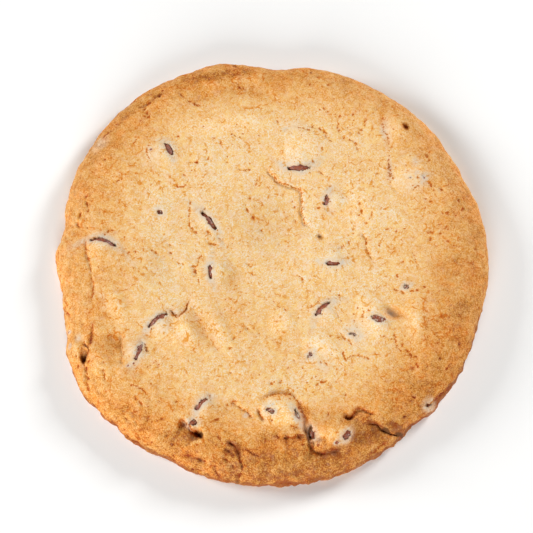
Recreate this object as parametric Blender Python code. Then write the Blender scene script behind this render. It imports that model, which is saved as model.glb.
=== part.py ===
"""A large soft chocolate chip cookie: one uneven disc of baked dough with chocolate drops sunk in its top.

The dough is a height above the table at each point of a disc. The height comes from an outline, a round
shoulder, a slightly sunk middle, and the mounds, hollows and folds that baking left. Each chip is a drop
that lies on its side with its tip in the dough. The dough drapes over it as a thin skin, and only a slit
along the edge of the drop's base is bare. Sizes are in millimetres, seen from above with +Y at the back.
"""

import math
from collections import namedtuple

import bmesh
import bpy
import numpy as np
from mathutils import Matrix, Vector
from mathutils.bvhtree import BVHTree

MM = 0.001
TURN = 2 * math.pi

# Driving sizes of the dough
THICKNESS = 9.7
MIDDLE_SAG = 1.5
MIDDLE_REACH = 0.42  # of the radius
BELLY_HEIGHT = 1.9  # where the cookie is widest
FOOT_TUCK = 0.8  # how far the base lies in from the belly
SHOULDER_POWER = 2.1
SURFACE_RINGS = 92
SURFACE_FACES = 7000

# Radius of the outline at equal steps, anticlockwise from +X
OUTLINE_RADII = (
    55.3, 55.6, 55.4, 56.3, 56.2, 56.4, 55.6, 57.6, 58.4, 58.3, 57.2, 55.6,
    54.9, 54.2, 57.3, 57.1, 56.2, 56.2, 56.2, 56.0, 55.1, 54.4, 54.7, 54.2,
)  # fmt: skip
# Width of the round shoulder at equal steps, anticlockwise from +X
SHOULDER_WIDTHS = (9.5, 10.0, 9.0, 10.0, 13.0, 12.0, 8.5, 8.0)

# Lumps and notches of the outline: angle in degrees, half width in degrees, how far it stands out
OutlineBump = namedtuple("OutlineBump", "angle half_width height")
OUTLINE_BUMPS = (
    OutlineBump(88, 6, -0.7),
    OutlineBump(104, 9, 0.5),
    OutlineBump(125, 5, 0.4),
    OutlineBump(168, 7, -0.9),
    OutlineBump(176, 4, 0.4),
    OutlineBump(185, 6, -0.8),
    OutlineBump(203, 4, 0.4),
    OutlineBump(226, 4, -0.5),
    OutlineBump(242, 4, -0.4),
    OutlineBump(310, 5, -0.5),
    OutlineBump(317, 3, 0.7),
)

# Broad unevenness: size of its lumps and their height
Unevenness = namedtuple("Unevenness", "cell height seed")
UNEVENNESS = (Unevenness(13.0, 0.35, 3), Unevenness(5.5, 0.18, 8))
NOISE_CELLS = 64

# Oval mounds, and hollows where the height is negative; turn is in degrees
Mound = namedtuple("Mound", "x y length width turn height")
MOUNDS = (
    Mound(2.4, -39.8, 14.0, 11.5, 10, 1.5),
    Mound(14.8, -45.0, 12.5, 9.5, 15, 1.7),
    Mound(12.1, -47.4, 3.6, 3.2, 0, 0.8),
    Mound(7.0, 30.2, 15.0, 16.0, 0, 0.8),
    Mound(-2.0, 11.0, 24.0, 30.0, 10, -0.6),
    Mound(-9.5, -3.0, 9.0, 14.0, 15, -0.5),
    Mound(-28.0, 1.0, 13.0, 24.0, 0, -0.5),
    Mound(2.2, -15.6, 9.0, 11.0, 0, 0.7),
    Mound(22.0, 15.0, 13.0, 22.0, 0, 0.5),
    Mound(-12.0, 37.5, 32.0, 10.0, 4, 0.5),
    Mound(44.5, -2.5, 13.0, 14.0, 0, -0.4),
    Mound(-24.5, -19.0, 17.0, 13.0, 120, 0.4),
    Mound(-21.4, -18.0, 18.0, 6.2, -60, 0.6),
    Mound(-12.6, -19.0, 22.0, 6.2, -65, 0.5),
    Mound(31.8, 36.5, 8.5, 12.0, 0, 0.6),
    Mound(35.0, 22.4, 13.0, 11.0, 0, 0.7),
    Mound(25.0, -14.5, 17.0, 10.0, -62, 1.0),
    Mound(13.2, -22.5, 13.0, 8.0, -50, 0.8),
    Mound(35.8, -15.5, 22.0, 7.0, -83, 0.8),
    Mound(-42.8, -27.0, 16.0, 6.0, -65, 0.7),
    Mound(-39.0, -12.0, 16.0, 7.0, -65, 0.6),
    Mound(-17.6, -16.5, 17.0, 6.2, -60, -0.5),
    Mound(8.0, -24.0, 9.0, 4.0, -80, -0.5),
    Mound(-49.8, -23.6, 6.0, 10.0, 0, 1.7),
    Mound(-38.9, -21.4, 8.0, 7.0, -50, -0.6),
    Mound(-47.0, -24.2, 5.0, 2.6, 100, -2.4),
    Mound(30.0, -13.6, 8.0, 5.0, -20, -1.7),
    Mound(34.2, 36.8, 3.4, 2.8, -40, -1.5),
    Mound(12.4, 6.9, 3.8, 3.2, 60, -1.1),
    Mound(-18.2, -44.2, 3.6, 2.6, -30, -2.2),
    Mound(-8.0, -48.4, 3.4, 4.8, -10, -0.8),
    Mound(-10.2, -47.2, 3.8, 2.4, -35, -0.5),
    Mound(-8.4, -54.8, 2.0, 2.4, 0, -1.0),
    Mound(19.0, -40.5, 3.4, 2.2, 0, -1.2),
    Mound(30.4, -43.6, 4.6, 2.0, -10, -1.0),
    Mound(8.4, -42.6, 11.0, 3.6, -60, -1.9),
    Mound(23.5, -44.5, 14.0, 8.0, 0, -1.0),
    Mound(-20.5, -52.6, 11.0, 3.6, -14, 0.9),
    Mound(-11.4, -55.4, 10.0, 3.6, -14, 0.9),
    Mound(2.0, -52.8, 9.0, 4.4, 10, 0.5),
    Mound(16.0, -52.6, 12.0, 3.6, 22, 0.6),
)

# Folds and cracks. Walking along the points, a groove runs underfoot and the dough to the right lies
# lower by the drop, which fades over the reach.
Fold = namedtuple("Fold", "points groove width drop reach")
FOLDS = {
    "sunk middle": Fold(
        ((-2.5, 26.8), (-0.5, 24.0), (3.1, 21.0), (7.2, 19.7), (7.9, 16.4), (7.6, 12.9), (11.2, 7.8)),
        0.35, 0.5, 0.8, 7.0,
    ),
    "front ledge": Fold(
        ((17.2, -39.3), (19.2, -40.3), (21.0, -38.9), (22.6, -38.3), (24.2, -39.0), (26.4, -40.4)),
        0.6, 0.6, 0.9, 3.5,
    ),
    "gap below the ledge": Fold(
        ((23.2, -41.5), (26.2, -41.8), (27.4, -42.6), (28.6, -43.4), (30.2, -43.8), (34.4, -43.4)),
        1.2, 0.5, 1.4, 4.5,
    ),
    "undercut": Fold(
        ((-23.4, -40.7), (-21.2, -41.8), (-20.1, -42.9), (-19.2, -43.7), (-18.0, -43.6),
         (-17.2, -44.9), (-16.9, -46.6)),
        0.6, 0.5, 2.0, 4.0,
    ),
    "groove round mound A": Fold(
        ((-3.5, -37.1), (-1.5, -35.1), (1.7, -34.2), (4.4, -34.6), (5.9, -36.1), (7.1, -38.2),
         (8.1, -40.2), (9.2, -42.6)),
        0.8, 0.8, 0.0, 1.0,
    ),
    "foot of mound A": Fold(((2.4, -45.6), (5.4, -45.4), (6.9, -45.0), (8.8, -44.8)), 0.4, 0.6, 0.7, 3.5),
    "edge of mound B": Fold(
        ((9.0, -41.0), (9.5, -43.2), (9.3, -45.4), (9.9, -47.5), (11.3, -48.9), (13.2, -48.9),
         (15.0, -48.2), (17.4, -47.0)),
        0.7, 0.5, 1.3, 3.5,
    ),
    "left of mound A": Fold(((-3.8, -37.9), (-2.8, -39.6), (-1.8, -41.8)), 0.7, 0.4, 0.0, 1.0),
    "low step": Fold(((-10.6, -36.0), (-7.9, -37.9), (-5.9, -39.2), (-4.4, -41.2)), 0.3, 0.5, 0.6, 4.0),
    "left crack": Fold(
        ((-47.1, 8.6), (-47.1, 4.7), (-47.0, 1.5), (-46.0, -0.6), (-45.3, -3.9),
         (-45.1, -8.4), (-44.8, -12.4)),
        0.35, 0.4, 0.4, 4.0,
    ),
    "left rim crease": Fold(
        ((-45.3, -13.4), (-45.1, -18.7), (-46.0, -21.8), (-46.9, -24.4), (-46.3, -27.4),
         (-46.0, -31.4), (-44.4, -36.0)),
        0.4, 0.5, 0.3, 3.0,
    ),
    "left of chip 8": Fold(
        ((-36.9, -18.6), (-37.4, -22.3), (-37.1, -24.6), (-37.4, -27.6)), 0.1, 0.6, 0.8, 3.5
    ),
    "flap": Fold(((-20.6, -9.2), (-21.3, -11.7), (-23.4, -14.2), (-26.4, -12.6)), 0.8, 0.4, 0.2, 2.0),
    "long ridge": Fold(((-20.6, -9.9), (-17.5, -16.0), (-15.7, -20.0), (-12.3, -24.5)), 0.2, 0.6, 0.2, 4.0),
    "back valley": Fold(
        ((-23.0, 44.4), (-16.6, 44.9), (-13.2, 46.1), (-9.5, 47.2), (-5.9, 47.4), (1.5, 46.6)),
        0.8, 2.2, 0.0, 1.0,
    ),
    "back left crease": Fold(
        ((-26.8, 47.8), (-30.2, 44.7), (-32.6, 42.7), (-36.4, 42.6)),
        0.5, 0.5, 0.5, 3.0,
    ),
    "back right valley": Fold(((28.2, 39.8), (28.9, 36.2), (29.6, 32.6), (30.2, 29.4)), 0.5, 0.9, 0.0, 1.0),
    "left of chip 22": Fold(
        ((30.1, 27.8), (29.6, 24.8), (29.8, 21.8), (31.1, 19.3), (33.4, 17.9)), 0.4, 0.6, 0.0, 1.0
    ),
    "front crack": Fold(
        ((-11.4, -45.7), (-9.4, -47.8), (-8.1, -49.2), (-7.9, -50.6), (-7.4, -52.2),
         (-7.8, -54.4), (-8.6, -56.4)),
        0.7, 0.5, 0.0, 1.0,
    ),
    "right crack": Fold(((22.5, 8.5), (24.1, 5.8), (24.3, 3.3), (26.2, 0.2)), 0.4, 0.5, 0.4, 4.0),
    "front rim fold": Fold(
        ((-23.6, -49.8), (-20.2, -49.5), (-18.5, -50.0), (-17.0, -50.8), (-15.4, -52.0)),
        0.7, 0.5, 0.5, 2.5,
    ),
    "lip": Fold(((37.4, -38.2), (40.1, -35.2), (42.9, -32.6), (46.0, -29.4)), 0.2, 0.5, 1.8, 6.0),
    "under the lip": Fold(((23.2, -49.8), (25.2, -48.3), (26.9, -46.9), (29.0, -45.0)), 0.4, 0.4, 0.4, 3.0),
}
FOLD_STEP = 0.8
FOLD_FADE = 0.18  # share of its length over which a fold rises from nothing at each end
FOLD_EDGE = 0.7  # width over which the drop falls
CRACK_SWAY = 0.4  # how far folds wander from their paths

# Chips. (x, y) is the middle of the bare slit, heading the way the tip points, lift the tip's rise above
# level, both in degrees, and proud how far the chip's edge stands over the dough as it would lie without it.
CHIP_RADIUS = 4.1
CHIP_HEIGHT = 5.2
CHIP_EDGE = 0.55  # rounding of the base's edge
CHIP_SIDES = 12
CHIP_GAP = 0.3  # clearance between a chip and the pocket that it sits in
SKIN = 1.0  # dough over a chip
LIP_SKIN = 0.5  # dough at the lips of a slit
SLIT_DEPTH = 0.7  # how far the dough falls away below a chip's surface in its slit
DRAPE_LENGTH = 1.5  # how far from a chip the skin still rises
Chip = namedtuple("Chip", "x y heading lift proud slit_length slit_width size")
CHIPS = {
    "chip_01": Chip(-26.3, 30.3, 212, 25, 0.1, 4.0, 1.7, 0.95),
    "chip_02": Chip(7.1, 24.7, 93, 32, 0.2, 5.8, 1.3, 1.0),
    "chip_03": Chip(13.8, 16.8, 352, 40, -0.2, 3.4, 1.2, 0.9),
    "chip_04": Chip(-15.9, 11.5, 218, 15, 0.0, 6.2, 1.1, 1.0),
    "chip_05": Chip(-15.7, -2.4, 5, 20, -0.1, 3.8, 1.0, 0.95),
    "chip_06": Chip(-42.6, 5.6, 256, 25, 0.3, 6.8, 1.2, 1.0),
    "chip_07": Chip(-29.0, -15.2, 309, 28, 0.2, 6.2, 1.4, 1.0),
    "chip_08": Chip(-33.1, -23.8, 161, 10, 0.6, 4.6, 1.2, 0.8),
    "chip_09": Chip(-17.6, -37.1, 316, 22, 0.4, 4.0, 1.3, 0.72),
    "chip_10": Chip(-19.6, -41.8, 100, 5, 0.0, 1.9, 1.2, 0.4),
    "chip_11": Chip(-0.4, -39.1, 60, 15, -0.1, 2.0, 1.3, 0.73),
    "chip_12": Chip(6.3, -40.0, 208, 10, -0.2, 3.0, 0.9, 0.65),
    "chip_13": Chip(9.9, -44.6, 20, 10, 0.0, 2.2, 1.0, 0.5),
    "chip_14": Chip(18.4, -45.1, 140, 15, 0.2, 2.4, 1.5, 0.8),
    "chip_15": Chip(12.4, -12.0, 314, 30, 0.0, 5.2, 1.3, 0.85),
    "chip_16": Chip(26.4, -15.3, 250, 12, 0.2, 3.2, 1.7, 0.72),
    "chip_17": Chip(15.4, -0.6, 90, 25, -0.2, 3.4, 1.0, 0.95),
    "chip_18": Chip(9.5, -24.5, 330, 20, -0.1, 1.7, 1.1, 0.9),
    "chip_19": Chip(20.3, -19.1, 75, 12, -0.1, 1.9, 1.0, 0.7),
    "chip_20": Chip(33.7, -6.6, 300, 15, -0.3, 1.4, 1.0, 0.8),
    "chip_21": Chip(-28.6, 13.3, 45, 15, -0.4, 1.4, 1.0, 0.7),
    "chip_22": Chip(38.8, 22.3, 333, -84, 0.0, 1.6, 1.1, 1.0),
    "chip_23": Chip(38.9, -36.5, 135, 5, -0.3, 1.5, 1.1, 0.6),
}

DOUGH_COLOUR = (0.80, 0.50, 0.23)
CHIP_COLOUR = (0.095, 0.036, 0.022)


# Numbers that vary smoothly


def around(values, angle):
    """A smooth closed curve through values given at equal steps of a full turn."""
    place = (angle / TURN % 1.0) * len(values)
    first = np.floor(place).astype(int)
    t = place - first
    before, start, end, after = (np.take(values, first + step, mode="wrap") for step in (-1, 0, 1, 2))
    slope = end - before
    bend = 2 * before - 5 * start + 4 * end - after
    twist = 3 * (start - end) + after - before
    return start + 0.5 * t * (slope + t * (bend + t * twist))


def ease(t):
    """Rises smoothly from 0 to 1 as t does."""
    t = np.clip(t, 0.0, 1.0)
    return t * t * (3.0 - 2.0 * t)


def dome(distance):
    """1 in the middle, 0 from a distance of 1 outwards."""
    return np.clip(1.0 - distance**2, 0.0, None) ** 2


def soft_noise(x, y, cell, seed):
    """Seeded noise between -1 and 1 whose lumps are about a cell across."""
    table = np.random.default_rng(seed).uniform(-1.0, 1.0, (NOISE_CELLS, NOISE_CELLS))
    column = np.floor(x / cell).astype(int)
    row = np.floor(y / cell).astype(int)
    u = ease(x / cell - column)
    v = ease(y / cell - row)
    near, far = (
        table[(column + step) % NOISE_CELLS, row % NOISE_CELLS] * (1.0 - v)
        + table[(column + step) % NOISE_CELLS, (row + 1) % NOISE_CELLS] * v
        for step in (0, 1)
    )
    return near * (1.0 - u) + far * u


# The dough's height


def outline_radius(angle):
    radius = around(OUTLINE_RADII, angle)
    for bump in OUTLINE_BUMPS:
        off = (np.degrees(angle) - bump.angle + 180.0) % 360.0 - 180.0
        radius = radius + bump.height * dome(off / bump.half_width)
    return radius


def shoulder(x, y):
    """How much of the full height the round edge leaves at a point: 0 at the outline, 1 inside it."""
    angle = np.arctan2(y, x)
    inwards = (outline_radius(angle) - np.hypot(x, y)) / around(SHOULDER_WIDTHS, angle)
    outwards = 1.0 - np.clip(inwards, 0.0, 1.0)
    return (1.0 - outwards**SHOULDER_POWER) ** (1.0 / SHOULDER_POWER)


def mound_height(mound, x, y):
    turn = math.radians(mound.turn)
    along = (x - mound.x) * math.cos(turn) + (y - mound.y) * math.sin(turn)
    across = (y - mound.y) * math.cos(turn) - (x - mound.x) * math.sin(turn)
    return mound.height * dome(np.hypot(along / (mound.length / 2), across / (mound.width / 2)))


def smooth_path(points):
    """Points about FOLD_STEP apart on a smooth open curve through the given ones."""
    points = np.array(points)
    ends = np.vstack([2 * points[0] - points[1], points, 2 * points[-1] - points[-2]])
    path = []
    for before, start, end, after in zip(ends, ends[1:], ends[2:], ends[3:]):
        count = max(2, round(np.linalg.norm(end - start) / FOLD_STEP))
        t = np.linspace(0.0, 1.0, count, endpoint=False)[:, None]
        bend = 2 * before - 5 * start + 4 * end - after
        twist = 3 * (start - end) + after - before
        path.append(start + 0.5 * t * (end - before + t * (bend + t * twist)))
    return np.vstack(path + [points[-1:]])


def beside_path(path, x, y):
    """Distance to the path, positive on its right, and the share of its length at the nearest point."""
    starts, runs = path[:-1], np.diff(path, axis=0)
    lengths = np.linalg.norm(runs, axis=1)
    passed = np.concatenate([[0.0], np.cumsum(lengths)[:-1]])
    to_x = x[:, None] - starts[:, 0]
    to_y = y[:, None] - starts[:, 1]
    along = np.clip((to_x * runs[:, 0] + to_y * runs[:, 1]) / lengths**2, 0.0, 1.0)
    distance = np.hypot(to_x - along * runs[:, 0], to_y - along * runs[:, 1])
    nearest = distance.argmin(axis=1)
    rows = np.arange(len(x))
    right = to_x * runs[:, 1] - to_y * runs[:, 0]
    share = (passed[nearest] + along[rows, nearest] * lengths[nearest]) / lengths.sum()
    return np.copysign(distance[rows, nearest], right[rows, nearest]), share


def swayed(x, y):
    """The place moved a little to and fro, so that folds and cracks run unevenly."""
    return x + CRACK_SWAY * soft_noise(x, y, 1.6, 61), y + CRACK_SWAY * soft_noise(x, y, 1.6, 62)


def fold_height(fold, x, y):
    path = smooth_path(fold.points)
    reach = 3.0 * max(fold.reach, fold.width)
    near = (np.abs(x - path[:, 0].mean()) < np.ptp(path[:, 0]) + reach) & (
        np.abs(y - path[:, 1].mean()) < np.ptp(path[:, 1]) + reach
    )
    height = np.zeros(len(x))
    side, share = beside_path(path, *swayed(x[near], y[near]))
    fade = ease(share / FOLD_FADE) * ease((1.0 - share) / FOLD_FADE)
    groove = fold.groove * np.exp(-((side / fold.width) ** 2))
    lower = fold.drop * ease(side / FOLD_EDGE + 0.5) * np.exp(-np.clip(side, 0.0, None) / fold.reach)
    height[near] = -fade * (groove + lower)
    return height


def dough_height(x, y):
    """Height of the dough as it would lie with no chips in it."""
    share = np.hypot(x, y) / outline_radius(np.arctan2(y, x))
    top = THICKNESS - MIDDLE_SAG * np.exp(-((share / MIDDLE_REACH) ** 2))
    for part in UNEVENNESS:
        top = top + part.height * soft_noise(x, y, part.cell, part.seed)
    for mound in MOUNDS:
        top = top + mound_height(mound, x, y)
    for fold in FOLDS.values():
        top = top + fold_height(fold, x, y)
    return BELLY_HEIGHT + (top - BELLY_HEIGHT) * shoulder(x, y)


# Chips


def drop_shape(size, gap):
    """Points and faces of a drop grown by the gap. Its base is centred on the origin and its tip is up."""
    radius = CHIP_RADIUS * size + gap
    tip = CHIP_HEIGHT * size + gap
    rings = [(radius - CHIP_EDGE, -gap)]
    rings += [
        (radius * (1.0 - share**1.7) ** 0.62, CHIP_EDGE - gap + (tip - CHIP_EDGE + gap) * share)
        for share in (0.0, 0.4, 0.72, 0.93)
    ]
    points = [(0.0, 0.0, -gap)]
    for ring_radius, height in rings:
        for side in range(CHIP_SIDES):
            angle = TURN * side / CHIP_SIDES
            points.append((ring_radius * math.cos(angle), ring_radius * math.sin(angle), height))
    points.append((0.0, 0.0, tip))
    faces = []
    last = len(points) - 1
    for side in range(CHIP_SIDES):
        after = (side + 1) % CHIP_SIDES
        faces.append((0, 1 + after, 1 + side))
        for ring in range(len(rings) - 1):
            low, high = 1 + ring * CHIP_SIDES, 1 + (ring + 1) * CHIP_SIDES
            faces.append((low + side, low + after, high + after, high + side))
        faces.append((last - CHIP_SIDES + side, last - CHIP_SIDES + after, last))
    return points, faces


def chip_placement(chip):
    """Matrix, in millimetres, that lays a drop down with the top of its base's edge in the chip's slit."""
    heading, lift = math.radians(chip.heading), math.radians(chip.lift)
    ahead = Vector((math.cos(heading), math.sin(heading), 0.0))
    axis = ahead * math.cos(lift) + Vector((0.0, 0.0, math.sin(lift)))
    edge_up = Vector((0.0, 0.0, math.cos(lift))) - ahead * math.sin(lift)
    ground = dough_height(np.array([chip.x]), np.array([chip.y]))[0]
    slit = Vector((chip.x, chip.y, ground + chip.proud))
    edge = slit - ahead * chip.slit_width / 2
    centre = edge - edge_up * CHIP_RADIUS * chip.size
    turn = axis.to_track_quat("Z", "Y").to_matrix().to_4x4()
    return Matrix.Translation(centre) @ turn


def tops_over(chip, placement, x, y):
    """Height of the chip's upper side over each point, and -inf where the chip isn't below it."""
    points, faces = drop_shape(chip.size, 0.0)
    tree = BVHTree.FromPolygons([placement @ Vector(point) for point in points], faces)
    tops = np.full(len(x), -np.inf)
    span = (CHIP_RADIUS + CHIP_HEIGHT) * chip.size
    for index in np.flatnonzero(np.hypot(x - chip.x, y - chip.y) < span):
        hit = tree.ray_cast(Vector((x[index], y[index], 3 * THICKNESS)), Vector((0.0, 0.0, -1.0)))[0]
        if hit:
            tops[index] = hit.z
    return tops


def slit_share(chip, x, y):
    """1 inside the chip's bare slit, 0 outside it, on an arc that follows the edge of the base."""
    heading = math.radians(chip.heading)
    ahead = (x - chip.x) * math.cos(heading) + (y - chip.y) * math.sin(heading)
    along = (y - chip.y) * math.cos(heading) - (x - chip.x) * math.sin(heading)
    bow = math.sin(math.radians(abs(chip.lift))) * along**2 / (2.0 * CHIP_RADIUS * chip.size)
    along_share = np.clip(2.0 * along / chip.slit_length, -1.0, 1.0)
    half_width = 0.5 * chip.slit_width * np.sqrt(1.0 - along_share**2)
    return ease((half_width - np.abs(ahead - bow)) / 0.5 + 0.5) * (half_width > 0.0)


# The dough's surface


def lattice_faces(rings):
    """Triangles of a disc of nested rings, where ring k has 6k points and starts at 1 + 3k(k-1)."""
    faces = []
    for ring in range(1, rings + 1):
        outer, inner = 1 + 3 * ring * (ring - 1), 1 + 3 * (ring - 1) * (ring - 2) if ring > 1 else 0
        side, step = (part.ravel() for part in np.meshgrid(range(6), range(ring), indexing="ij"))
        start = side * ring + step
        inside = side * (ring - 1) + step
        count = max(1, 6 * (ring - 1))
        faces.append(
            np.column_stack([outer + start, outer + (start + 1) % (6 * ring), inner + inside % count])
        )
        short = step < ring - 1
        start, inside = start[short], inside[short]
        faces.append(
            np.column_stack(
                [outer + (start + 1) % (6 * ring), inner + (inside + 1) % count, inner + inside % count]
            )
        )
    return np.vstack(faces)


def lattice_places(rings):
    """Where each point of the nested rings lies seen from above, close together on the steep shoulder."""
    ring = np.concatenate([[0], np.repeat(np.arange(1, rings + 1), 6 * np.arange(1, rings + 1))])
    step = np.concatenate([[0]] + [np.arange(6 * k) for k in range(1, rings + 1)])
    angle = TURN * step / np.maximum(6 * ring, 1)
    radius, width = outline_radius(angle), around(SHOULDER_WIDTHS, angle)
    flat = radius - width
    run = ring / rings * (flat + width * TURN / 4)
    bend = np.clip((run - flat) / width, 0.0, TURN / 4)
    from_middle = np.where(run < flat, run, flat + width * np.sin(bend))
    return from_middle * np.cos(angle), from_middle * np.sin(angle)


def neighbour_pairs(faces):
    ends = np.sort(np.vstack([faces[:, [0, 1]], faces[:, [1, 2]], faces[:, [2, 0]]]), axis=1)
    return np.unique(ends, axis=0).T


def drape(swell, least, pairs, spacing):
    """The swell of a skin that rests on the least heights and sags smoothly back to none between them."""
    keep = 4.0 * DRAPE_LENGTH**2 / (4.0 * DRAPE_LENGTH**2 + spacing**2)
    first, second = pairs
    count = len(swell)
    shared = np.bincount(first, minlength=count) + np.bincount(second, minlength=count)
    for _ in range(round(6.0 * (DRAPE_LENGTH / spacing) ** 2) + 10):
        total = np.bincount(first, swell[second], count) + np.bincount(second, swell[first], count)
        swell = np.maximum(keep * total / shared, least)
    return swell


def surface_heights(x, y, pairs, spacing):
    """Height of the dough's skin at each point, draped over the chips and open at their slits."""
    ground = dough_height(x, y)
    least = np.zeros(len(x))
    openings = []
    for chip in CHIPS.values():
        tops = tops_over(chip, chip_placement(chip), x, y)
        slit = slit_share(chip, x, y)
        lips = np.exp(-(np.hypot(x - chip.x, y - chip.y) / chip.slit_length) ** 2)
        skin = SKIN + (LIP_SKIN - SKIN) * lips
        least = np.maximum(least, tops + skin - ground)
        openings.append((slit, np.where(np.isfinite(tops), tops - SLIT_DEPTH, np.inf)))
    heights = ground + drape(np.zeros(len(x)), least, pairs, spacing)
    for slit, floor in openings:
        heights = heights + slit * np.minimum(floor - heights, 0.0)
    return heights


# Objects


def material(name, colour, roughness):
    made = bpy.data.materials.new(name)
    made.use_nodes = True
    shader = made.node_tree.nodes["Principled BSDF"]
    shader.inputs["Base Color"].default_value = (*colour, 1.0)
    shader.inputs["Roughness"].default_value = roughness
    return made


def new_object(name, points, faces, finish):
    """An object with smooth faces, from points in millimetres."""
    mesh = bpy.data.meshes.new(name)
    mesh.from_pydata(np.array(points) * MM, [], [tuple(face) for face in faces])
    mesh.shade_smooth()
    mesh.materials.append(finish)
    made = bpy.data.objects.new(name, mesh)
    bpy.context.scene.collection.objects.link(made)
    return made


def open_surface():
    """Points and faces of the dough from the middle of its top over the edge to its foot."""
    faces = lattice_faces(SURFACE_RINGS)
    x, y = lattice_places(SURFACE_RINGS)
    spacing = 2.0 * max(OUTLINE_RADII) * math.pi / (6.0 * SURFACE_RINGS)
    heights = surface_heights(x, y, neighbour_pairs(faces), spacing)
    points = np.column_stack([x, y, heights])
    rim = points[-6 * SURFACE_RINGS :]
    inwards = 1.0 - FOOT_TUCK / np.hypot(rim[:, 0], rim[:, 1])
    foot = np.column_stack([rim[:, 0] * inwards, rim[:, 1] * inwards, np.zeros(len(rim))])
    above = np.arange(len(points) - len(rim), len(points))
    below = above + len(rim)
    walls = np.column_stack([above, below, np.roll(below, -1), np.roll(above, -1)])
    return np.vstack([points, foot]), [*faces, *walls]


def thin_out(surface):
    """Keeps about SURFACE_FACES triangles, most of them where the surface bends most."""
    surface.data.calc_loop_triangles()
    collapse = surface.modifiers.new("Thin out", "DECIMATE")
    collapse.ratio = SURFACE_FACES / len(surface.data.loop_triangles)
    collapse.use_collapse_triangulate = True
    graph = bpy.context.evaluated_depsgraph_get()
    thinned = bpy.data.meshes.new_from_object(surface.evaluated_get(graph))
    surface.modifiers.clear()
    surface.data = thinned


def close_base(surface):
    """Sets the open foot on the table and closes it with one flat face."""
    shape = bmesh.new()
    shape.from_mesh(surface.data)
    rim = [edge for edge in shape.edges if edge.is_boundary]
    for edge in rim:
        for vertex in edge.verts:
            vertex.co.z = 0.0
    bmesh.ops.holes_fill(shape, edges=rim)
    bmesh.ops.recalc_face_normals(shape, faces=shape.faces)
    shape.to_mesh(surface.data)
    shape.free()


def chip_object(name, chip, gap, finish):
    points, faces = drop_shape(chip.size, gap)
    made = new_object(name, points, faces, finish)
    placement = chip_placement(chip)
    made.matrix_world = Matrix.Translation(placement.translation * MM) @ placement.to_3x3().to_4x4()
    return made


def cut_pockets(dough, finish):
    """Cuts each chip's pocket from the dough with a slightly larger drop, which stays as a guide."""
    pockets = bpy.data.collections.new("Pockets")
    bpy.context.scene.collection.children.link(pockets)
    for name, chip in CHIPS.items():
        pocket = chip_object(f"pocket_{name}", chip, CHIP_GAP, finish)
        bpy.context.scene.collection.objects.unlink(pocket)
        pockets.objects.link(pocket)
        pocket.hide_render = True
        pocket.display_type = "WIRE"
    cut = dough.modifiers.new("Pockets", "BOOLEAN")
    cut.operation = "DIFFERENCE"
    cut.operand_type = "COLLECTION"
    cut.collection = pockets
    cut.solver = "EXACT"


def build():
    for leftover in list(bpy.data.objects):
        bpy.data.objects.remove(leftover)
    baked = material("Baked dough", DOUGH_COLOUR, 0.8)
    chocolate = material("Chocolate", CHIP_COLOUR, 0.45)
    dough = new_object("dough", *open_surface(), baked)
    thin_out(dough)
    close_base(dough)
    cut_pockets(dough, baked)
    for name, chip in CHIPS.items():
        chip_object(name, chip, 0.0, chocolate)


build()
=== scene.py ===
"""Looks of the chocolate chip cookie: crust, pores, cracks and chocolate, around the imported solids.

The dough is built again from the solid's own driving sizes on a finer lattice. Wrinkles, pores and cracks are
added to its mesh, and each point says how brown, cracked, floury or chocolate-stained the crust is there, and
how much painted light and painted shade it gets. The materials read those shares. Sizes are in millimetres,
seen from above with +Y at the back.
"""

import math
from collections import namedtuple

import bpy
import numpy as np
from mathutils import Matrix, Vector
from mathutils.bvhtree import BVHTree


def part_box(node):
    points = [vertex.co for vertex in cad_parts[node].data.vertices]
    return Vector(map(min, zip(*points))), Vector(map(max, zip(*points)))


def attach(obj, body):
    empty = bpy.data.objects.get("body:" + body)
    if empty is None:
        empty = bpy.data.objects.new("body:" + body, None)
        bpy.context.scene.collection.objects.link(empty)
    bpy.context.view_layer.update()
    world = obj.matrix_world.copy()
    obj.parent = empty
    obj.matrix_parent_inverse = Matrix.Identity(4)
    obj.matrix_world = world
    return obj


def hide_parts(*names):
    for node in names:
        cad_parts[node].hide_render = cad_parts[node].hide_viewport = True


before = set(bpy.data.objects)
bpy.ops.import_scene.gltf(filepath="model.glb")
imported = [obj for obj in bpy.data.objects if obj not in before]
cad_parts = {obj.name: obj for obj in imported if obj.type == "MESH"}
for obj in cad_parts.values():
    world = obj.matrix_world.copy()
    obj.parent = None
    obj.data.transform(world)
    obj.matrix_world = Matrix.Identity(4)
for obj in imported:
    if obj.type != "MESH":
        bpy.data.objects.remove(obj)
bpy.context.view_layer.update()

MM = 0.001
TURN = 2 * math.pi


def each(kind, *rows):
    """A list with one of the kind from each row of its values."""
    return [kind(*row) for row in rows]


# Unevenness: size of its lumps and their height
Unevenness = namedtuple("Unevenness", "cell height seed")
NOISE_CELLS = 64

# Driving sizes of the dough
THICKNESS = 9.7
MIDDLE_SAG = 1.5
MIDDLE_REACH = 0.42  # of the radius
BELLY_HEIGHT = 1.9  # where the cookie is widest
FOOT_TUCK = 0.8  # how far the base lies in from the belly
SHOULDER_POWER = 2.1
SURFACE_RINGS = 168
WALL_ROWS = 6
UNDER_RINGS = 44
UNDER_HOLLOWS = each(Unevenness, (5, 0.5, 41))  # whose squares are the hollows of the underside

UNEVENNESS = each(Unevenness, (13, 0.35, 3), (5.5, 0.18, 8))

# Radius of the outline at equal steps, anticlockwise from +X
OUTLINE_RADII = (
    55.3, 55.6, 55.4, 56.3, 56.2, 56.4, 55.6, 57.6, 58.4, 58.3, 57.2, 55.6,
    54.9, 54.2, 57.3, 57.1, 56.2, 56.2, 56.2, 56, 55.1, 54.4, 54.7, 54.2,
)
# Width of the round shoulder at equal steps, anticlockwise from +X
SHOULDER_WIDTHS = (9.5, 10, 9, 10, 13, 12, 8.5, 8)

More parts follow.
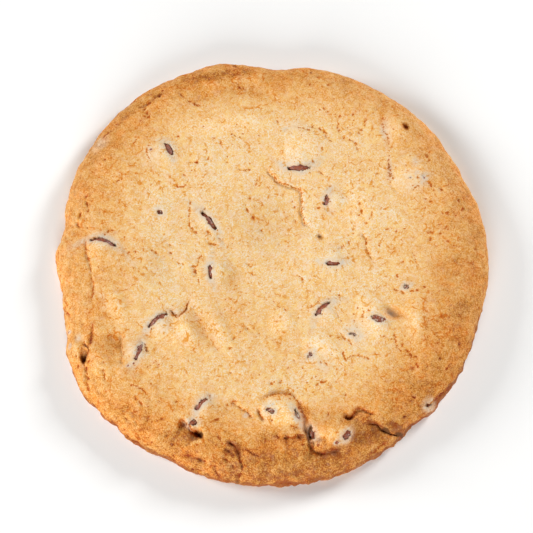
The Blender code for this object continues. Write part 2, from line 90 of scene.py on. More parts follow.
# Lumps and notches of the outline: angle in degrees, half width in degrees, how far it stands out
OutlineBump = namedtuple("OutlineBump", "angle half_width height")
OUTLINE_BUMPS = each(
    OutlineBump,
    (88, 6, -0.7), (104, 9, 0.5), (125, 5, 0.4), (168, 7, -0.9), (176, 4, 0.4), (185, 6, -0.8),
    (203, 4, 0.4), (226, 4, -0.5), (242, 4, -0.4), (310, 5, -0.5), (317, 3, 0.7),
)

# Oval mounds, and hollows where the height is negative; turn is in degrees
Mound = namedtuple("Mound", "x y length width turn height")
MOUNDS = each(
    Mound,
    (2.4, -39.8, 14, 11.5, 10, 1.5), (14.8, -45, 12.5, 9.5, 15, 1.7), (12.1, -47.4, 3.6, 3.2, 0, 0.8),
    (7, 30.2, 15, 16, 0, 0.8), (-2, 11, 24, 30, 10, -0.6), (-9.5, -3, 9, 14, 15, -0.5),
    (-28, 1, 13, 24, 0, -0.5), (2.2, -15.6, 9, 11, 0, 0.7), (22, 15, 13, 22, 0, 0.5),
    (-12, 37.5, 32, 10, 4, 0.5), (44.5, -2.5, 13, 14, 0, -0.4), (-24.5, -19, 17, 13, 120, 0.4),
    (-21.4, -18, 18, 6.2, -60, 0.6), (-12.6, -19, 22, 6.2, -65, 0.5), (31.8, 36.5, 8.5, 12, 0, 0.6),
    (35, 22.4, 13, 11, 0, 0.7), (25, -14.5, 17, 10, -62, 1), (13.2, -22.5, 13, 8, -50, 0.8),
    (35.8, -15.5, 22, 7, -83, 0.8), (-42.8, -27, 16, 6, -65, 0.7), (-39, -12, 16, 7, -65, 0.6),
    (-17.6, -16.5, 17, 6.2, -60, -0.5), (8, -24, 9, 4, -80, -0.5), (-49.8, -23.6, 6, 10, 0, 1.7),
    (-38.9, -21.4, 8, 7, -50, -0.6), (-47, -24.2, 5, 2.6, 100, -2.4), (30, -13.6, 8, 5, -20, -1.7),
    (34.2, 36.8, 3.4, 2.8, -40, -1.5), (12.4, 6.9, 3.8, 3.2, 60, -1.1), (-18.2, -44.2, 3.6, 2.6, -30, -2.2),
    (-8, -48.4, 3.4, 4.8, -10, -0.8), (-10.2, -47.2, 3.8, 2.4, -35, -0.5), (-8.4, -54.8, 2, 2.4, 0, -1),
    (19, -40.5, 3.4, 2.2, 0, -1.2), (30.4, -43.6, 4.6, 2, -10, -1), (8.4, -42.6, 11, 3.6, -60, -1.9),
    (23.5, -44.5, 14, 8, 0, -1), (-20.5, -52.6, 11, 3.6, -14, 0.9), (-11.4, -55.4, 10, 3.6, -14, 0.9),
    (2, -52.8, 9, 4.4, 10, 0.5), (16, -52.6, 12, 3.6, 22, 0.6),
)

# Folds and cracks. Walking along the points, a groove runs underfoot and the dough to the right lies
# lower by the drop, which fades over the reach.
Fold = namedtuple("Fold", "points groove width drop reach")
FOLDS = {
    "sunk middle": Fold(
        ((-2.5, 26.8), (-0.5, 24), (3.1, 21), (7.2, 19.7), (7.9, 16.4), (7.6, 12.9), (11.2, 7.8)),
        0.35, 0.5, 0.8, 7
    ),
    "front ledge": Fold(
        ((17.2, -39.3), (19.2, -40.3), (21, -38.9), (22.6, -38.3), (24.2, -39), (26.4, -40.4)),
        0.6, 0.6, 0.9, 3.5
    ),
    "gap below the ledge": Fold(
        ((23.2, -41.5), (26.2, -41.8), (27.4, -42.6), (28.6, -43.4), (30.2, -43.8), (34.4, -43.4)),
        1.2, 0.5, 1.4, 4.5
    ),
    "undercut": Fold(
        ((-23.4, -40.7), (-21.2, -41.8), (-20.1, -42.9), (-19.2, -43.7), (-18, -43.6), (-17.2, -44.9),
        (-16.9, -46.6)), 0.6, 0.5, 2, 4
    ),
    "groove round mound A": Fold(
        ((-3.5, -37.1), (-1.5, -35.1), (1.7, -34.2), (4.4, -34.6), (5.9, -36.1), (7.1, -38.2), (8.1, -40.2),
        (9.2, -42.6)), 0.8, 0.8, 0, 1
    ),
    "foot of mound A": Fold(((2.4, -45.6), (5.4, -45.4), (6.9, -45), (8.8, -44.8)), 0.4, 0.6, 0.7, 3.5),
    "edge of mound B": Fold(
        ((9, -41), (9.5, -43.2), (9.3, -45.4), (9.9, -47.5), (11.3, -48.9), (13.2, -48.9), (15, -48.2),
        (17.4, -47)), 0.7, 0.5, 1.3, 3.5
    ),
    "left of mound A": Fold(((-3.8, -37.9), (-2.8, -39.6), (-1.8, -41.8)), 0.7, 0.4, 0, 1),
    "low step": Fold(((-10.6, -36), (-7.9, -37.9), (-5.9, -39.2), (-4.4, -41.2)), 0.3, 0.5, 0.6, 4),
    "left crack": Fold(
        ((-47.1, 8.6), (-47.1, 4.7), (-47, 1.5), (-46, -0.6), (-45.3, -3.9), (-45.1, -8.4), (-44.8, -12.4)),
        0.35, 0.4, 0.4, 4
    ),
    "left rim crease": Fold(
        ((-45.3, -13.4), (-45.1, -18.7), (-46, -21.8), (-46.9, -24.4), (-46.3, -27.4), (-46, -31.4),
        (-44.4, -36)), 0.4, 0.5, 0.3, 3
    ),
    "left of chip 8": Fold(
        ((-36.9, -18.6), (-37.4, -22.3), (-37.1, -24.6), (-37.4, -27.6)), 0.1, 0.6, 0.8, 3.5
    ),
    "flap": Fold(((-20.6, -9.2), (-21.3, -11.7), (-23.4, -14.2), (-26.4, -12.6)), 0.8, 0.4, 0.2, 2),
    "long ridge": Fold(((-20.6, -9.9), (-17.5, -16), (-15.7, -20), (-12.3, -24.5)), 0.2, 0.6, 0.2, 4),
    "back valley": Fold(
        ((-23, 44.4), (-16.6, 44.9), (-13.2, 46.1), (-9.5, 47.2), (-5.9, 47.4), (1.5, 46.6)), 0.8, 2.2, 0, 1
    ),
    "back left crease": Fold(((-26.8, 47.8), (-30.2, 44.7), (-32.6, 42.7), (-36.4, 42.6)), 0.5, 0.5, 0.5, 3),
    "back right valley": Fold(((28.2, 39.8), (28.9, 36.2), (29.6, 32.6), (30.2, 29.4)), 0.5, 0.9, 0, 1),
    "left of chip 22": Fold(
        ((30.1, 27.8), (29.6, 24.8), (29.8, 21.8), (31.1, 19.3), (33.4, 17.9)), 0.4, 0.6, 0, 1
    ),
    "front crack": Fold(
        ((-11.4, -45.7), (-9.4, -47.8), (-8.1, -49.2), (-7.9, -50.6), (-7.4, -52.2), (-7.8, -54.4),
        (-8.6, -56.4)), 0.7, 0.5, 0, 1
    ),
    "right crack": Fold(((22.5, 8.5), (24.1, 5.8), (24.3, 3.3), (26.2, 0.2)), 0.4, 0.5, 0.4, 4),
    "front rim fold": Fold(
        ((-23.6, -49.8), (-20.2, -49.5), (-18.5, -50), (-17, -50.8), (-15.4, -52)), 0.7, 0.5, 0.5, 2.5
    ),
    "lip": Fold(((37.4, -38.2), (40.1, -35.2), (42.9, -32.6), (46, -29.4)), 0.2, 0.5, 1.8, 6),
    "under the lip": Fold(((23.2, -49.8), (25.2, -48.3), (26.9, -46.9), (29, -45)), 0.4, 0.4, 0.4, 3),
}
FOLD_STEP = 0.8
FOLD_FADE = 0.18  # share of its length over which a fold rises from nothing at each end
FOLD_EDGE = 0.7  # width over which the drop falls

# Chips, in the order of their nodes. (x, y) is the middle of the bare slit, heading the way the tip points,
# lift the tip's rise above level, both in degrees, proud how far the chip's edge stands over the dough as it
# would lie without it, and veil how much skin still covers the chocolate in the slit.
CHIP_RADIUS = 4.1
CHIP_HEIGHT = 5.2
CHIP_EDGE = 0.55  # rounding of the base's edge
CHIP_SIDES = 36
CHIP_RINGS = 20
BELLY_POWER = 1.7  # these two shape the drop's side, from its belly to its tip
TIP_POWER = 0.62
BASE_RINGS = (0.35, 0.7)  # as shares of the flat of the base
EDGE_RINGS = 5
CHIP_WAVES = each(Unevenness, (1.3, 0.12, 71))  # unevenness of the chocolate
WAVE_SHIFT = 20  # keeps each chip's waves apart from the next one's
SLIT_RAGS = each(Unevenness, (0.8, 0.3, 51))  # how far the lips of a slit wander
LIP_WIDTH = 0.4  # over which the dough falls away at a slit
SKIN = 1  # dough over a chip
LIP_SKIN = 0.5  # dough at the lips of a slit
SLIT_DEPTH = 0.7  # how far the dough falls away below a chip's surface in its slit
DRAPE_LENGTH = 1.5  # how far from a chip the skin still rises
DRAPE_ROUNDS = 6  # of spreading, on a lattice with points a drape length apart
MORE_ROUNDS = 10
Chip = namedtuple("Chip", "x y heading lift proud slit_length slit_width size veil", defaults=(0,))
CHIPS = each(
    Chip,
    (-26.3, 30.3, 212, 25, 0.1, 4, 1.7, 0.95),
    (7.1, 24.7, 93, 32, 0.2, 5.8, 1.3, 1),
    (13.8, 16.8, 352, 40, -0.2, 3.4, 1.2, 0.9),
    (-15.9, 11.5, 218, 15, 0, 6.2, 1.1, 1),
    (-15.7, -2.4, 5, 20, -0.1, 3.8, 1, 0.95),
    (-42.6, 5.6, 256, 25, 0.3, 6.8, 1.2, 1),
    (-29, -15.2, 309, 28, 0.2, 6.2, 1.4, 1),
    (-33.1, -23.8, 161, 10, 0.6, 4.6, 1.2, 0.8),
    (-17.6, -37.1, 316, 22, 0.4, 4, 1.3, 0.72),
    (-19.6, -41.8, 100, 5, 0, 1.9, 1.2, 0.4),
    (-0.4, -39.1, 60, 15, -0.1, 2, 1.3, 0.73, 0.5),
    (6.3, -40, 208, 10, -0.2, 3, 0.9, 0.65, 0.8),
    (9.9, -44.6, 20, 10, 0, 2.2, 1, 0.5),
    (18.4, -45.1, 140, 15, 0.2, 2.4, 1.5, 0.8),
    (12.4, -12, 314, 30, 0, 5.2, 1.3, 0.85),
    (26.4, -15.3, 250, 12, 0.2, 3.2, 1.7, 0.72, 0.4),
    (15.4, -0.6, 90, 25, -0.2, 3.4, 1, 0.95),
    (9.5, -24.5, 330, 20, -0.1, 1.7, 1.1, 0.9, 0.7),
    (20.3, -19.1, 75, 12, -0.1, 1.9, 1, 0.7, 0.8),
    (33.7, -6.6, 300, 15, -0.3, 1.4, 1, 0.8, 0.5),
    (-28.6, 13.3, 45, 15, -0.4, 1.4, 1, 0.7, 0.5),
    (38.8, 22.3, 333, -84, 0, 1.6, 1.1, 1, 0.4),
    (38.9, -36.5, 135, 5, -0.3, 1.5, 1.1, 0.6),
)

# Fine relief of the crust, which the solid leaves out: everywhere, and more where it is brown
WRINKLES = each(Unevenness, (2.6, 0.10, 21), (1.3, 0.05, 22), (0.8, 0.02, 23))
BROWN_WRINKLES = each(Unevenness, (4.2, 0.26, 31), (1.9, 0.28, 32), (0.9, 0.16, 33))

# Thin cracks: the depth and half width of their groove, and how dark their painted shade is
Crack = namedtuple("Crack", "depth width dark points")
CRACKS = each(
    Crack,
    (0.1, 0.6, 0, ((33.2, 38), (34.4, 36.8), (35.4, 35))),
    (0.25, 0.3, 0.1, ((5.4, 36.9), (7, 36.4), (9.6, 35.7), (12, 34.6))),
    (0.2, 0.25, 0.1, ((17.6, 38), (17.2, 36.2), (17.5, 34.4))),
    (0.2, 0.3, 0.3, ((-43.8, 34.2), (-42.4, 35.6), (-41, 36.3))),
    (0.35, 0.35, 0.3, ((-37.9, 22.4), (-40.3, 20.8))),
    (0.25, 0.25, 0.1, ((-35.9, 30.7), (-34.3, 33.9))),
    (0.3, 0.3, 0.2, ((-19.6, 43.9), (-20.1, 42.2))),
    (0.25, 0.2, 0.3, ((-10.8, 34.5), (-9, 33.9), (-7.4, 33.8))),
    (0.25, 0.25, 0.3, ((-9.4, 25.3), (-6.6, 24.6), (-4.6, 24.6))),
    (0.2, 0.25, 0, ((-20.7, 26.5), (-19.4, 26.9), (-18.3, 26.6))),
    (0.2, 0.25, 0, ((-25, 20), (-23.1, 20.2), (-21.7, 20.8), (-21.4, 23))),
    (0.25, 0.25, 0, ((-19.9, 18), (-21.1, 15.1), (-20.8, 11), (-19.5, 8.1), (-17, 6.3))),
    (0.2, 0.2, 0, ((-17.4, 2.5), (-18.9, -0.1), (-19.1, -3.6), (-17.9, -6.5))),
    (0.15, 0.2, 0, ((-31.3, 32.7), (-32.3, 30), (-31.2, 27.2), (-29.1, 25.6))),
    (0.3, 0.35, 0.2, ((8.5, 37.1), (11.4, 36.4), (13.7, 34.7), (14.9, 32.8), (16.7, 31.7))),
    (0.25, 0.3, 0.1, ((19.1, 33.6), (21.1, 32), (22.8, 29))),
    (0.25, 0.3, 0, ((24.5, 39), (24.2, 37.7), (23.7, 36.4))),
    (0.2, 0.25, 0.2, ((30.5, 29.3), (29.7, 26.4), (29.9, 24), (31, 20.9))),
    (0.25, 0.35, 0.1, ((35.6, 18.3), (36.3, 19.5), (37.8, 20.2))),
    (0.2, 0.25, 0, ((34.9, 2.8), (36.3, 0.2), (37.1, -2))),
    (0.3, 0.35, 0.2, ((-42.8, -27.4), (-42, -29.7), (-41.5, -31.7))),
    (0.4, 0.35, 0.6, ((-33, -20.4), (-31.5, -22.3), (-31.1, -24.2))),
    (0.3, 0.3, 0.1, ((-31.8, -28.1), (-28.7, -26.2), (-27.7, -28.9))),
    (0.25, 0.3, 0.1, ((-36.5, -31.7), (-33, -32.8), (-30.3, -35.2))),
    (0.25, 0.3, 0.1, ((30.3, -18), (30.9, -21.7), (32.4, -24.3))),
    (0.25, 0.3, 0.1, ((17.7, -22.2), (18.4, -25.8), (20.4, -24.3), (22.6, -25.3), (25.3, -26.8))),
    (0.3, 0.4, 0.2, ((-52.6, -9.7), (-51.8, -12.5), (-50.9, -14.5))),
    (0.4, 0.35, 0.8, ((-47.2, -20.8), (-46.3, -22.1), (-45.7, -23.4))),
    (0.5, 0.45, 0.6, ((-11.9, -48.6), (-10.3, -49.4), (-9.4, -50.3))),
    (0.4, 0.4, 0.4, ((-7.4, -48.3), (-4.7, -49.5), (-2.3, -50.3))),
    (0.3, 0.35, 0.3, ((-13.9, -51.6), (-13.4, -54), (-12.6, -55))),
)
CRACK_SWAYS = each(Unevenness, (1.6, 0.4, 61), (1.6, 0.4, 62))  # how far cracks stray in X and in Y
CRACK_SPAN = 4  # widths round its path beyond which a crack counts as nothing
FOLD_SPAN = 3  # reaches or widths round its path beyond which a fold counts as nothing
FOLD_SHADE = 0.08  # painted shade: how dark the folds are where they are sharpest
FOLD_MARK = 0.4  # how plain the mark is of a fold that hardly shows, where 1 is a crack's
SOFT_FOLD = 1  # a fold this wide has no mark
CRACK_REACH = 0.7  # how far from a crack its mark fades to nothing

# Pores: loose chains of pits that wander over the crust
PORE_CHAINS = 230
CHAIN_LENGTHS = (1, 7)
CHAIN_STEPS = (0.8, 2.6)
CHAIN_TURNS = 0.6  # in radians
PORE_RADII = (0.15, 0.42)
PORE_STRETCH = 1.3  # the most that a pore is longer than round
PORE_DEPTH = 1.1  # as a share of its radius
PORE_SEED = 5

# How brown the crust is at the outline, the share of the radius at which it starts to brown, and how much
# browner the foot is, from baking and from painted shade that is strongest at the front, at equal steps
# anticlockwise from +X
RIM_BROWN = (0.56, 0.47, 0.58, 0.58, 0.43, 0.55, 0.78, 0.66)
BROWN_STARTS = (0.44, 0.64, 0.61, 0.60, 0.45, 0.56, 0.55, 0.52)
FOOT_BROWN_AND_SHADE = (0.20, 0.00, 0.25, 0.10, 0.35, 0.90, 1.60, 1.40)
FOOT_REACH = 4.8  # height up to which the foot's brown and painted shade reach

# Ovals of browner crust, some browned in baking and some painted shade in hollows, gaps and under the front
# ledge, with a strength in place of a height
BROWN_AND_SHADE_SPOTS = each(
    Mound,
    (-10, -20, 56, 44, 0, 0.12), (-14, 51, 26, 5, 12, 0.3), (-41, -22, 9, 12, 0, 0.1),
    (12.1, -47.2, 3.8, 3.4, 0, 0.6), (-9.4, -47.8, 7, 7, 0, 0.2), (-38.9, -21, 9, 7, -50, 0.12),
    (30.6, -13, 7, 4.6, -20, 0.1), (34.2, 36.8, 3.6, 3, -40, 0.15), (8, -38.8, 4, 9, 35, 0.4),
    (23, -41.2, 13, 4.6, -4, 0.3), (-19.8, -44.6, 5.5, 4, -20, 0.15), (30.6, -42.6, 7, 3, -10, 0.6),
    (42.6, -34, 12, 3, 45, 0.4), (-45.2, -20, 3, 4, 0, 0.4),
)

# Ovals where the crust is less brown than round about
GOLDEN_SPOTS = each(
    Mound,
    (2.6, -41, 9, 10, 0, 0.08), (14.2, -45.6, 9, 7, 15, 0.12), (26.5, -47.5, 8, 5, 0, 0.15),
)

# Ovals of crevices, gaps and pits with painted shade inside
SHADED_CREVICE_SPOTS = each(
    Mound,
    (-17.4, -44.4, 2.4, 1.7, -50, 1.5), (9.4, -43.8, 1.7, 5.4, 0, 1.6), (10, -47, 1.2, 4, 25, 0.9),
    (-47.1, -24.8, 2, 4.6, 20, 1.1), (28.4, -43.3, 3.6, 1.5, -30, 1.6), (31.6, -43.7, 5, 1.5, 5, 1.2),
    (18.8, -40.3, 1.8, 1.4, 0, 0.7), (22.9, -38.8, 4, 1.3, -10, 0.4), (-7.9, -48.3, 1.6, 3.4, -10, 0.2),
    (-10, -47.4, 2.6, 1.2, -35, 0.2), (-7.5, -52.4, 1.2, 3.2, -10, 0.7), (-8.6, -55.4, 2.2, 1.8, 0, 0.8),
    (11.9, 7.2, 3, 2.8, 0, 0.8), (-1.6, 25.2, 3, 1, -50, 0.6), (4.8, 20.6, 3.4, 1, -15, 0.6),
    (8.2, 14.6, 4, 0.9, -80, 0.6), (-17.6, -50.7, 3.6, 1.2, -30, 0.7), (-15.2, 2.5, 3, 1.4, 0, 0.6),
)

# Ovals of pale floury skin over a chip
PALE_SPOTS = each(
    Mound,
    (-30.4, 28.8, 9, 8, 20, 0.9), (-44.2, 32.5, 8, 5, 45, 1), (6.4, 36.9, 9, 4.6, 0, 0.9),
    (5.6, 25.6, 12, 8, 0, 0.9), (35.6, 21.4, 11, 10, 0, 0.9), (29.9, 35.2, 4, 11, 0, 1),
    (-18, 13, 7, 9, 30, 0.9), (-15.9, -1.6, 5, 9, 0, 0.8), (-42.4, 6.4, 10, 5, -15, 0.9),
    (-27, -16.6, 8, 8, 30, 0.9), (-34, -23.6, 8, 9, 0, 1), (-16.6, -36.4, 8, 7, 20, 0.9),
    (-19, -40.6, 3, 5, 0, 0.8), (-1.4, -40.4, 4.4, 7, 20, 0.8), (6.2, -40.2, 2.4, 6.4, 25, 1),
    (17.8, -45.6, 6, 4.6, 25, 0.8), (21.4, -18.4, 9, 11, 15, 0.9), (12, -26.4, 10, 6, -45, 1),
    (16.5, 0.2, 9, 5, 0, 0.8), (13.4, -12.6, 7, 7, 0, 0.5), (33.7, -6.6, 4, 3, 0, 0.6),
    (14.2, 18, 5, 5, 0, 0.6),
)

# Small ovals of thin greyish skin
GREY_SPOTS = each(
    Mound,
    (28.7, 35.4, 2.6, 7.5, 0, 1), (30.2, 24.4, 2.4, 9, 0, 0.9), (36.6, 26.4, 3, 3.6, 0, 0.9),
    (3.5, 35.6, 3.6, 2.4, 0, 0.8), (29.6, -13.4, 5, 3, -20, 0.8), (5.6, -40.6, 2.4, 7, 25, 0.9),
    (-42.4, -9.8, 2, 5, 20, 0.5), (-48.6, -19.4, 2.6, 3.4, 0, 0.8),
)

# Small ovals where chocolate shows through the skin without a slit
CHOCOLATE_SPOTS = each(
    Mound,
    (-31, 30.1, 1.9, 1.4, 0, 1), (-35.8, -27.4, 1.9, 1.3, 25, 1), (-34.4, -26.8, 1.9, 1.3, 25, 1),
    (-30.2, -17.8, 2.6, 1.3, -30, 0.8), (15.9, -47.1, 2.9, 1.6, 20, 1), (28.2, -15.4, 1.9, 3.2, 30, 0.8),
    (37, 23.5, 2.6, 1.9, 30, 0.7), (35.3, 22.1, 1.3, 1.1, 0, 1), (-6.5, -39.9, 2.9, 1.6, 30, 0.8),
    (0.2, -37.8, 1.3, 1.6, 0, 0.8), (9.3, -24, 2.2, 1.3, 60, 0.8), (21, -20.4, 1.4, 2.6, 20, 0.8),
    (-51, -17.3, 1.6, 1.6, 0, 0.8), (-50.8, -21.2, 1.3, 2.6, 0, 0.7),
)
HALO_WIDTH = 1.4  # of the pale skin round a slit
VEIL_REACH = 0.3  # how much smaller a veiled slit's bare chocolate is all round
BROAD = 6  # least width of the mounds that get painted light and the hollows that get painted shade all over
HOLLOW_STEPS = (6, 60)  # rounds of smoothing after which a hollow's depth is taken
HOLLOW_MOST = 0.5  # depth beyond which a hollow gets no more painted shade
HOLLOW_SHADE = 0.45  # painted shade: how much browner the crust is in each millimetre of a hollow's depth
UNDER_SHIFT = (300, 0)  # keeps the underside's pores apart from the top's
UNDER_BROWN = 0.8

# Colours
CRUST_TONES = (  # shares of the way from pale to dark brown, with their colours
    (0.00, (0.86, 0.75, 0.59)),
    (0.24, (0.84, 0.605, 0.335)),
    (0.45, (0.80, 0.485, 0.20)),
    (0.68, (0.68, 0.33, 0.082)),
    (0.86, (0.50, 0.20, 0.031)),
    (1.00, (0.32, 0.092, 0.013)),
)
PALENESS = -0.36  # of the crust as a whole, on the scale of the tones
PAINTED_SHADE_TINT = (0.84, 0.81, 0.78)  # painted shade: what a hollow a millimetre deep leaves of the crust's colour
PAINTED_LIGHT_TINT = (1.14, 1.15, 1.17)  # painted light: what a mound a millimetre high does
FLOUR_COLOUR = (0.90, 0.73, 0.54)
PALE_COLOUR = (0.82, 0.65, 0.47)
BLOOM_EDGE_COLOUR = (0.67, 0.57, 0.46)
YELLOW_COLOUR = (0.90, 0.63, 0.25)
PINK_COLOUR = (0.87, 0.62, 0.42)
GRAIN_TINT = (1, 0.81, 0.42)  # what the grains' gaps leave of the crust's colour
DOT_TINT = (0.87, 0.55, 0.16)  # what small dots and cracks do
RUST_TINT = (1.05, 0.93, 0.80)  # what redder patches of brown crust do
PIT_SHADE_TINT = (0.74, 0.37, 0.07)  # painted shade in pits, pores and cracks: what it does to the crust's colour
# painted shade, near black, in crevices, gaps, pits and the darkest cracks
CREVICE_SHADE_COLOUR = (0.13, 0.042, 0.007)
CHOCOLATE_COLOUR = (0.21, 0.053, 0.031)
RED_COLOUR = (0.32, 0.075, 0.025)
BLOOM_COLOUR = (0.36, 0.235, 0.20)

# The studio. Lights are name, place in metres, size in metres, power in watts.
FLOOR_SIZE = 6
FLOOR_COLOUR = (0.93, 0.93, 0.92)
LENS = 150
SENSOR = 36
CAMERA_ELEVATION = 72
CAMERA_AIM = (-1.38, 0.75, 3)
CAMERA_DISTANCE = 566.8
LIGHTS = (
    ("right key", (0.49, 0.39, 0.35), 0.20, 4.1),
    ("left key", (-0.64, 0.12, 0.31), 0.25, 4),
    ("front fill", (-0.10, -0.64, 0.31), 0.40, 4.5),
)
AMBIENT_COLOUR = (1, 1, 1)
AMBIENT_STRENGTH = 0.04


# Numbers that vary smoothly


def curve(before, start, end, after, t):
    """The place a share t of the way from start to end, on a smooth curve through four places."""
    bend = 2 * before - 5 * start + 4 * end - after
    twist = 3 * (start - end) + after - before
    return start + 0.5 * t * (end - before + t * (bend + t * twist))


def around(values, angle):
    """A smooth closed curve through values given at equal steps of a full turn."""
    place = (angle / TURN % 1) * len(values)
    first = np.floor(place).astype(int)
    corners = (np.take(values, first + step, mode="wrap") for step in (-1, 0, 1, 2))
    return curve(*corners, place - first)


def ease(t):
    """Rises smoothly from 0 to 1 as t does."""
    t = np.clip(t, 0, 1)
    return t * t * (3 - 2 * t)


def dome(distance):
    """1 in the middle, 0 from a distance of 1 outwards."""
    return np.clip(1 - distance**2, 0, None) ** 2


def soft_noise(x, y, cell, seed):
    """Seeded noise between -1 and 1 whose lumps are about a cell across."""
    table = np.random.default_rng(seed).uniform(-1, 1, (NOISE_CELLS, NOISE_CELLS))
    column = np.floor(x / cell).astype(int)
    row = np.floor(y / cell).astype(int)
    u = ease(x / cell - column)
    v = ease(y / cell - row)
    near, far = (
        table[(column + step) % NOISE_CELLS, row % NOISE_CELLS] * (1 - v)
        + table[(column + step) % NOISE_CELLS, (row + 1) % NOISE_CELLS] * v
        for step in (0, 1)
    )
    return near * (1 - u) + far * u


def lumps(parts, x, y):
    """The unevenness of several sizes of lumps together."""
    return sum(part.height * soft_noise(x, y, part.cell, part.seed) for part in parts)


# The dough's height


def outline_radius(angle):
    radius = around(OUTLINE_RADII, angle)
    for bump in OUTLINE_BUMPS:
        off = (np.degrees(angle) - bump.angle + 180) % 360 - 180
        radius = radius + bump.height * dome(off / bump.half_width)
    return radius


def shoulder(x, y):
    """How much of the full height the round edge leaves at a point: 0 at the outline, 1 inside it."""
    angle = np.arctan2(y, x)
    inwards = (outline_radius(angle) - np.hypot(x, y)) / around(SHOULDER_WIDTHS, angle)
    outwards = 1 - np.clip(inwards, 0, 1)
    return (1 - outwards**SHOULDER_POWER) ** (1 / SHOULDER_POWER)


def along_across(x, y, middle, degrees):
    """How far each point lies from a middle in the direction of the degrees, and across it."""
    turn = math.radians(degrees)
    along = (x - middle.x) * math.cos(turn) + (y - middle.y) * math.sin(turn)
    return along, (y - middle.y) * math.cos(turn) - (x - middle.x) * math.sin(turn)


def mound_height(mound, x, y):
    along, across = along_across(x, y, mound, mound.turn)
    return mound.height * dome(np.hypot(along / (mound.length / 2), across / (mound.width / 2)))


def smooth_path(points):
    """Points about FOLD_STEP apart on a smooth open curve through the given ones."""
    points = np.array(points)
    ends = np.vstack([2 * points[0] - points[1], points, 2 * points[-1] - points[-2]])
    path = []
    for corners in zip(ends, ends[1:], ends[2:], ends[3:]):
        count = max(2, round(np.linalg.norm(corners[2] - corners[1]) / FOLD_STEP))
        path.append(curve(*corners, np.linspace(0, 1, count, endpoint=False)[:, None]))
    return np.vstack(path + [points[-1:]])


def beside_path(path, x, y):
    """Distance to the path, positive on its right, and the share of its length at the nearest point."""
    starts, runs = path[:-1], np.diff(path, axis=0)
    lengths = np.linalg.norm(runs, axis=1)
    passed = np.concatenate([[0], np.cumsum(lengths)[:-1]])
    to_x = x[:, None] - starts[:, 0]
    to_y = y[:, None] - starts[:, 1]
    along = np.clip((to_x * runs[:, 0] + to_y * runs[:, 1]) / lengths**2, 0, 1)
    distance = np.hypot(to_x - along * runs[:, 0], to_y - along * runs[:, 1])
    nearest = distance.argmin(axis=1)
    rows = np.arange(len(x))
    right = to_x * runs[:, 1] - to_y * runs[:, 0]
    share = (passed[nearest] + along[rows, nearest] * lengths[nearest]) / lengths.sum()
    return np.copysign(distance[rows, nearest], right[rows, nearest]), share


def boxed(path, widths, margin, x, y):
    """Which points lie in a box some times as wide as the path, and a margin wider on each side."""
    middle = path.mean(axis=0)
    half = widths * np.ptp(path, axis=0) / 2 + margin
    return (np.abs(x - middle[0]) < half[0]) & (np.abs(y - middle[1]) < half[1])


def end_fade(share):
    """1 along most of a path, easing to 0 at its ends."""
    return ease(share / FOLD_FADE) * ease((1 - share) / FOLD_FADE)


def swayed(x, y):
    """The place moved a little to and fro, so that folds and cracks run unevenly."""
    return (place + lumps([sway], x, y) for place, sway in zip((x, y), CRACK_SWAYS))


def fold_height(fold, x, y):
    path = smooth_path(fold.points)
    near = boxed(path, 2, FOLD_SPAN * max(fold.reach, fold.width), x, y)
    side, share = beside_path(path, *swayed(x[near], y[near]))
    groove = fold.groove * np.exp(-((side / fold.width) ** 2))
    lower = fold.drop * ease(side / FOLD_EDGE + 0.5) * np.exp(-np.clip(side, 0, None) / fold.reach)
    height = np.zeros(len(x))
    height[near] = -end_fade(share) * (groove + lower)
    return height


def broad_relief(x, y):
    """How far the broad mounds and hollows lift the dough."""
    return sum(mound_height(mound, x, y) for mound in MOUNDS if min(mound.length, mound.width) > BROAD)


def dough_height(x, y):
    """Height of the dough as it would lie with no chips in it."""
    share = np.hypot(x, y) / outline_radius(np.arctan2(y, x))
    top = THICKNESS - MIDDLE_SAG * np.exp(-((share / MIDDLE_REACH) ** 2)) + lumps(UNEVENNESS, x, y)
    top = top + sum(mound_height(mound, x, y) for mound in MOUNDS)
    top = top + sum(fold_height(fold, x, y) for fold in FOLDS.values())
    return BELLY_HEIGHT + (top - BELLY_HEIGHT) * shoulder(x, y)


# Chips


def drop_profile(radius, tip):
    """Radius and height of each ring of a drop, from the flat of its base up."""
    base = [((radius - CHIP_EDGE) * share, 0) for share in BASE_RINGS]
    edge = [
        (radius - CHIP_EDGE * (1 - math.sin(bend)), CHIP_EDGE * (1 - math.cos(bend)))
        for bend in np.linspace(0, TURN / 4, EDGE_RINGS)
    ]
    side = [
        (radius * (1 - share**BELLY_POWER) ** TIP_POWER, CHIP_EDGE + (tip - CHIP_EDGE) * share)
        for share in np.linspace(0, 1, CHIP_RINGS, endpoint=False)[1:]
    ]
    return base + edge + side


def drop_shape(size):
    """Points and faces of a drop whose base is centred on the origin and whose tip is up."""
    rings = drop_profile(CHIP_RADIUS * size, CHIP_HEIGHT * size)
    turns = [TURN * side / CHIP_SIDES for side in range(CHIP_SIDES)]
    points = [(0, 0, 0)]
    for far, height in rings:
        points += [(far * math.cos(turn), far * math.sin(turn), height) for turn in turns]
    points.append((0, 0, CHIP_HEIGHT * size))
    faces = []
    last = len(points) - 1
    for side in range(CHIP_SIDES):
        after = (side + 1) % CHIP_SIDES
        faces.append((0, 1 + after, 1 + side))
        for ring in range(len(rings) - 1):
            low, high = 1 + ring * CHIP_SIDES, 1 + (ring + 1) * CHIP_SIDES
            faces.append((low + side, low + after, high + after, high + side))
        faces.append((last - CHIP_SIDES + side, last - CHIP_SIDES + after, last))
    return points, faces


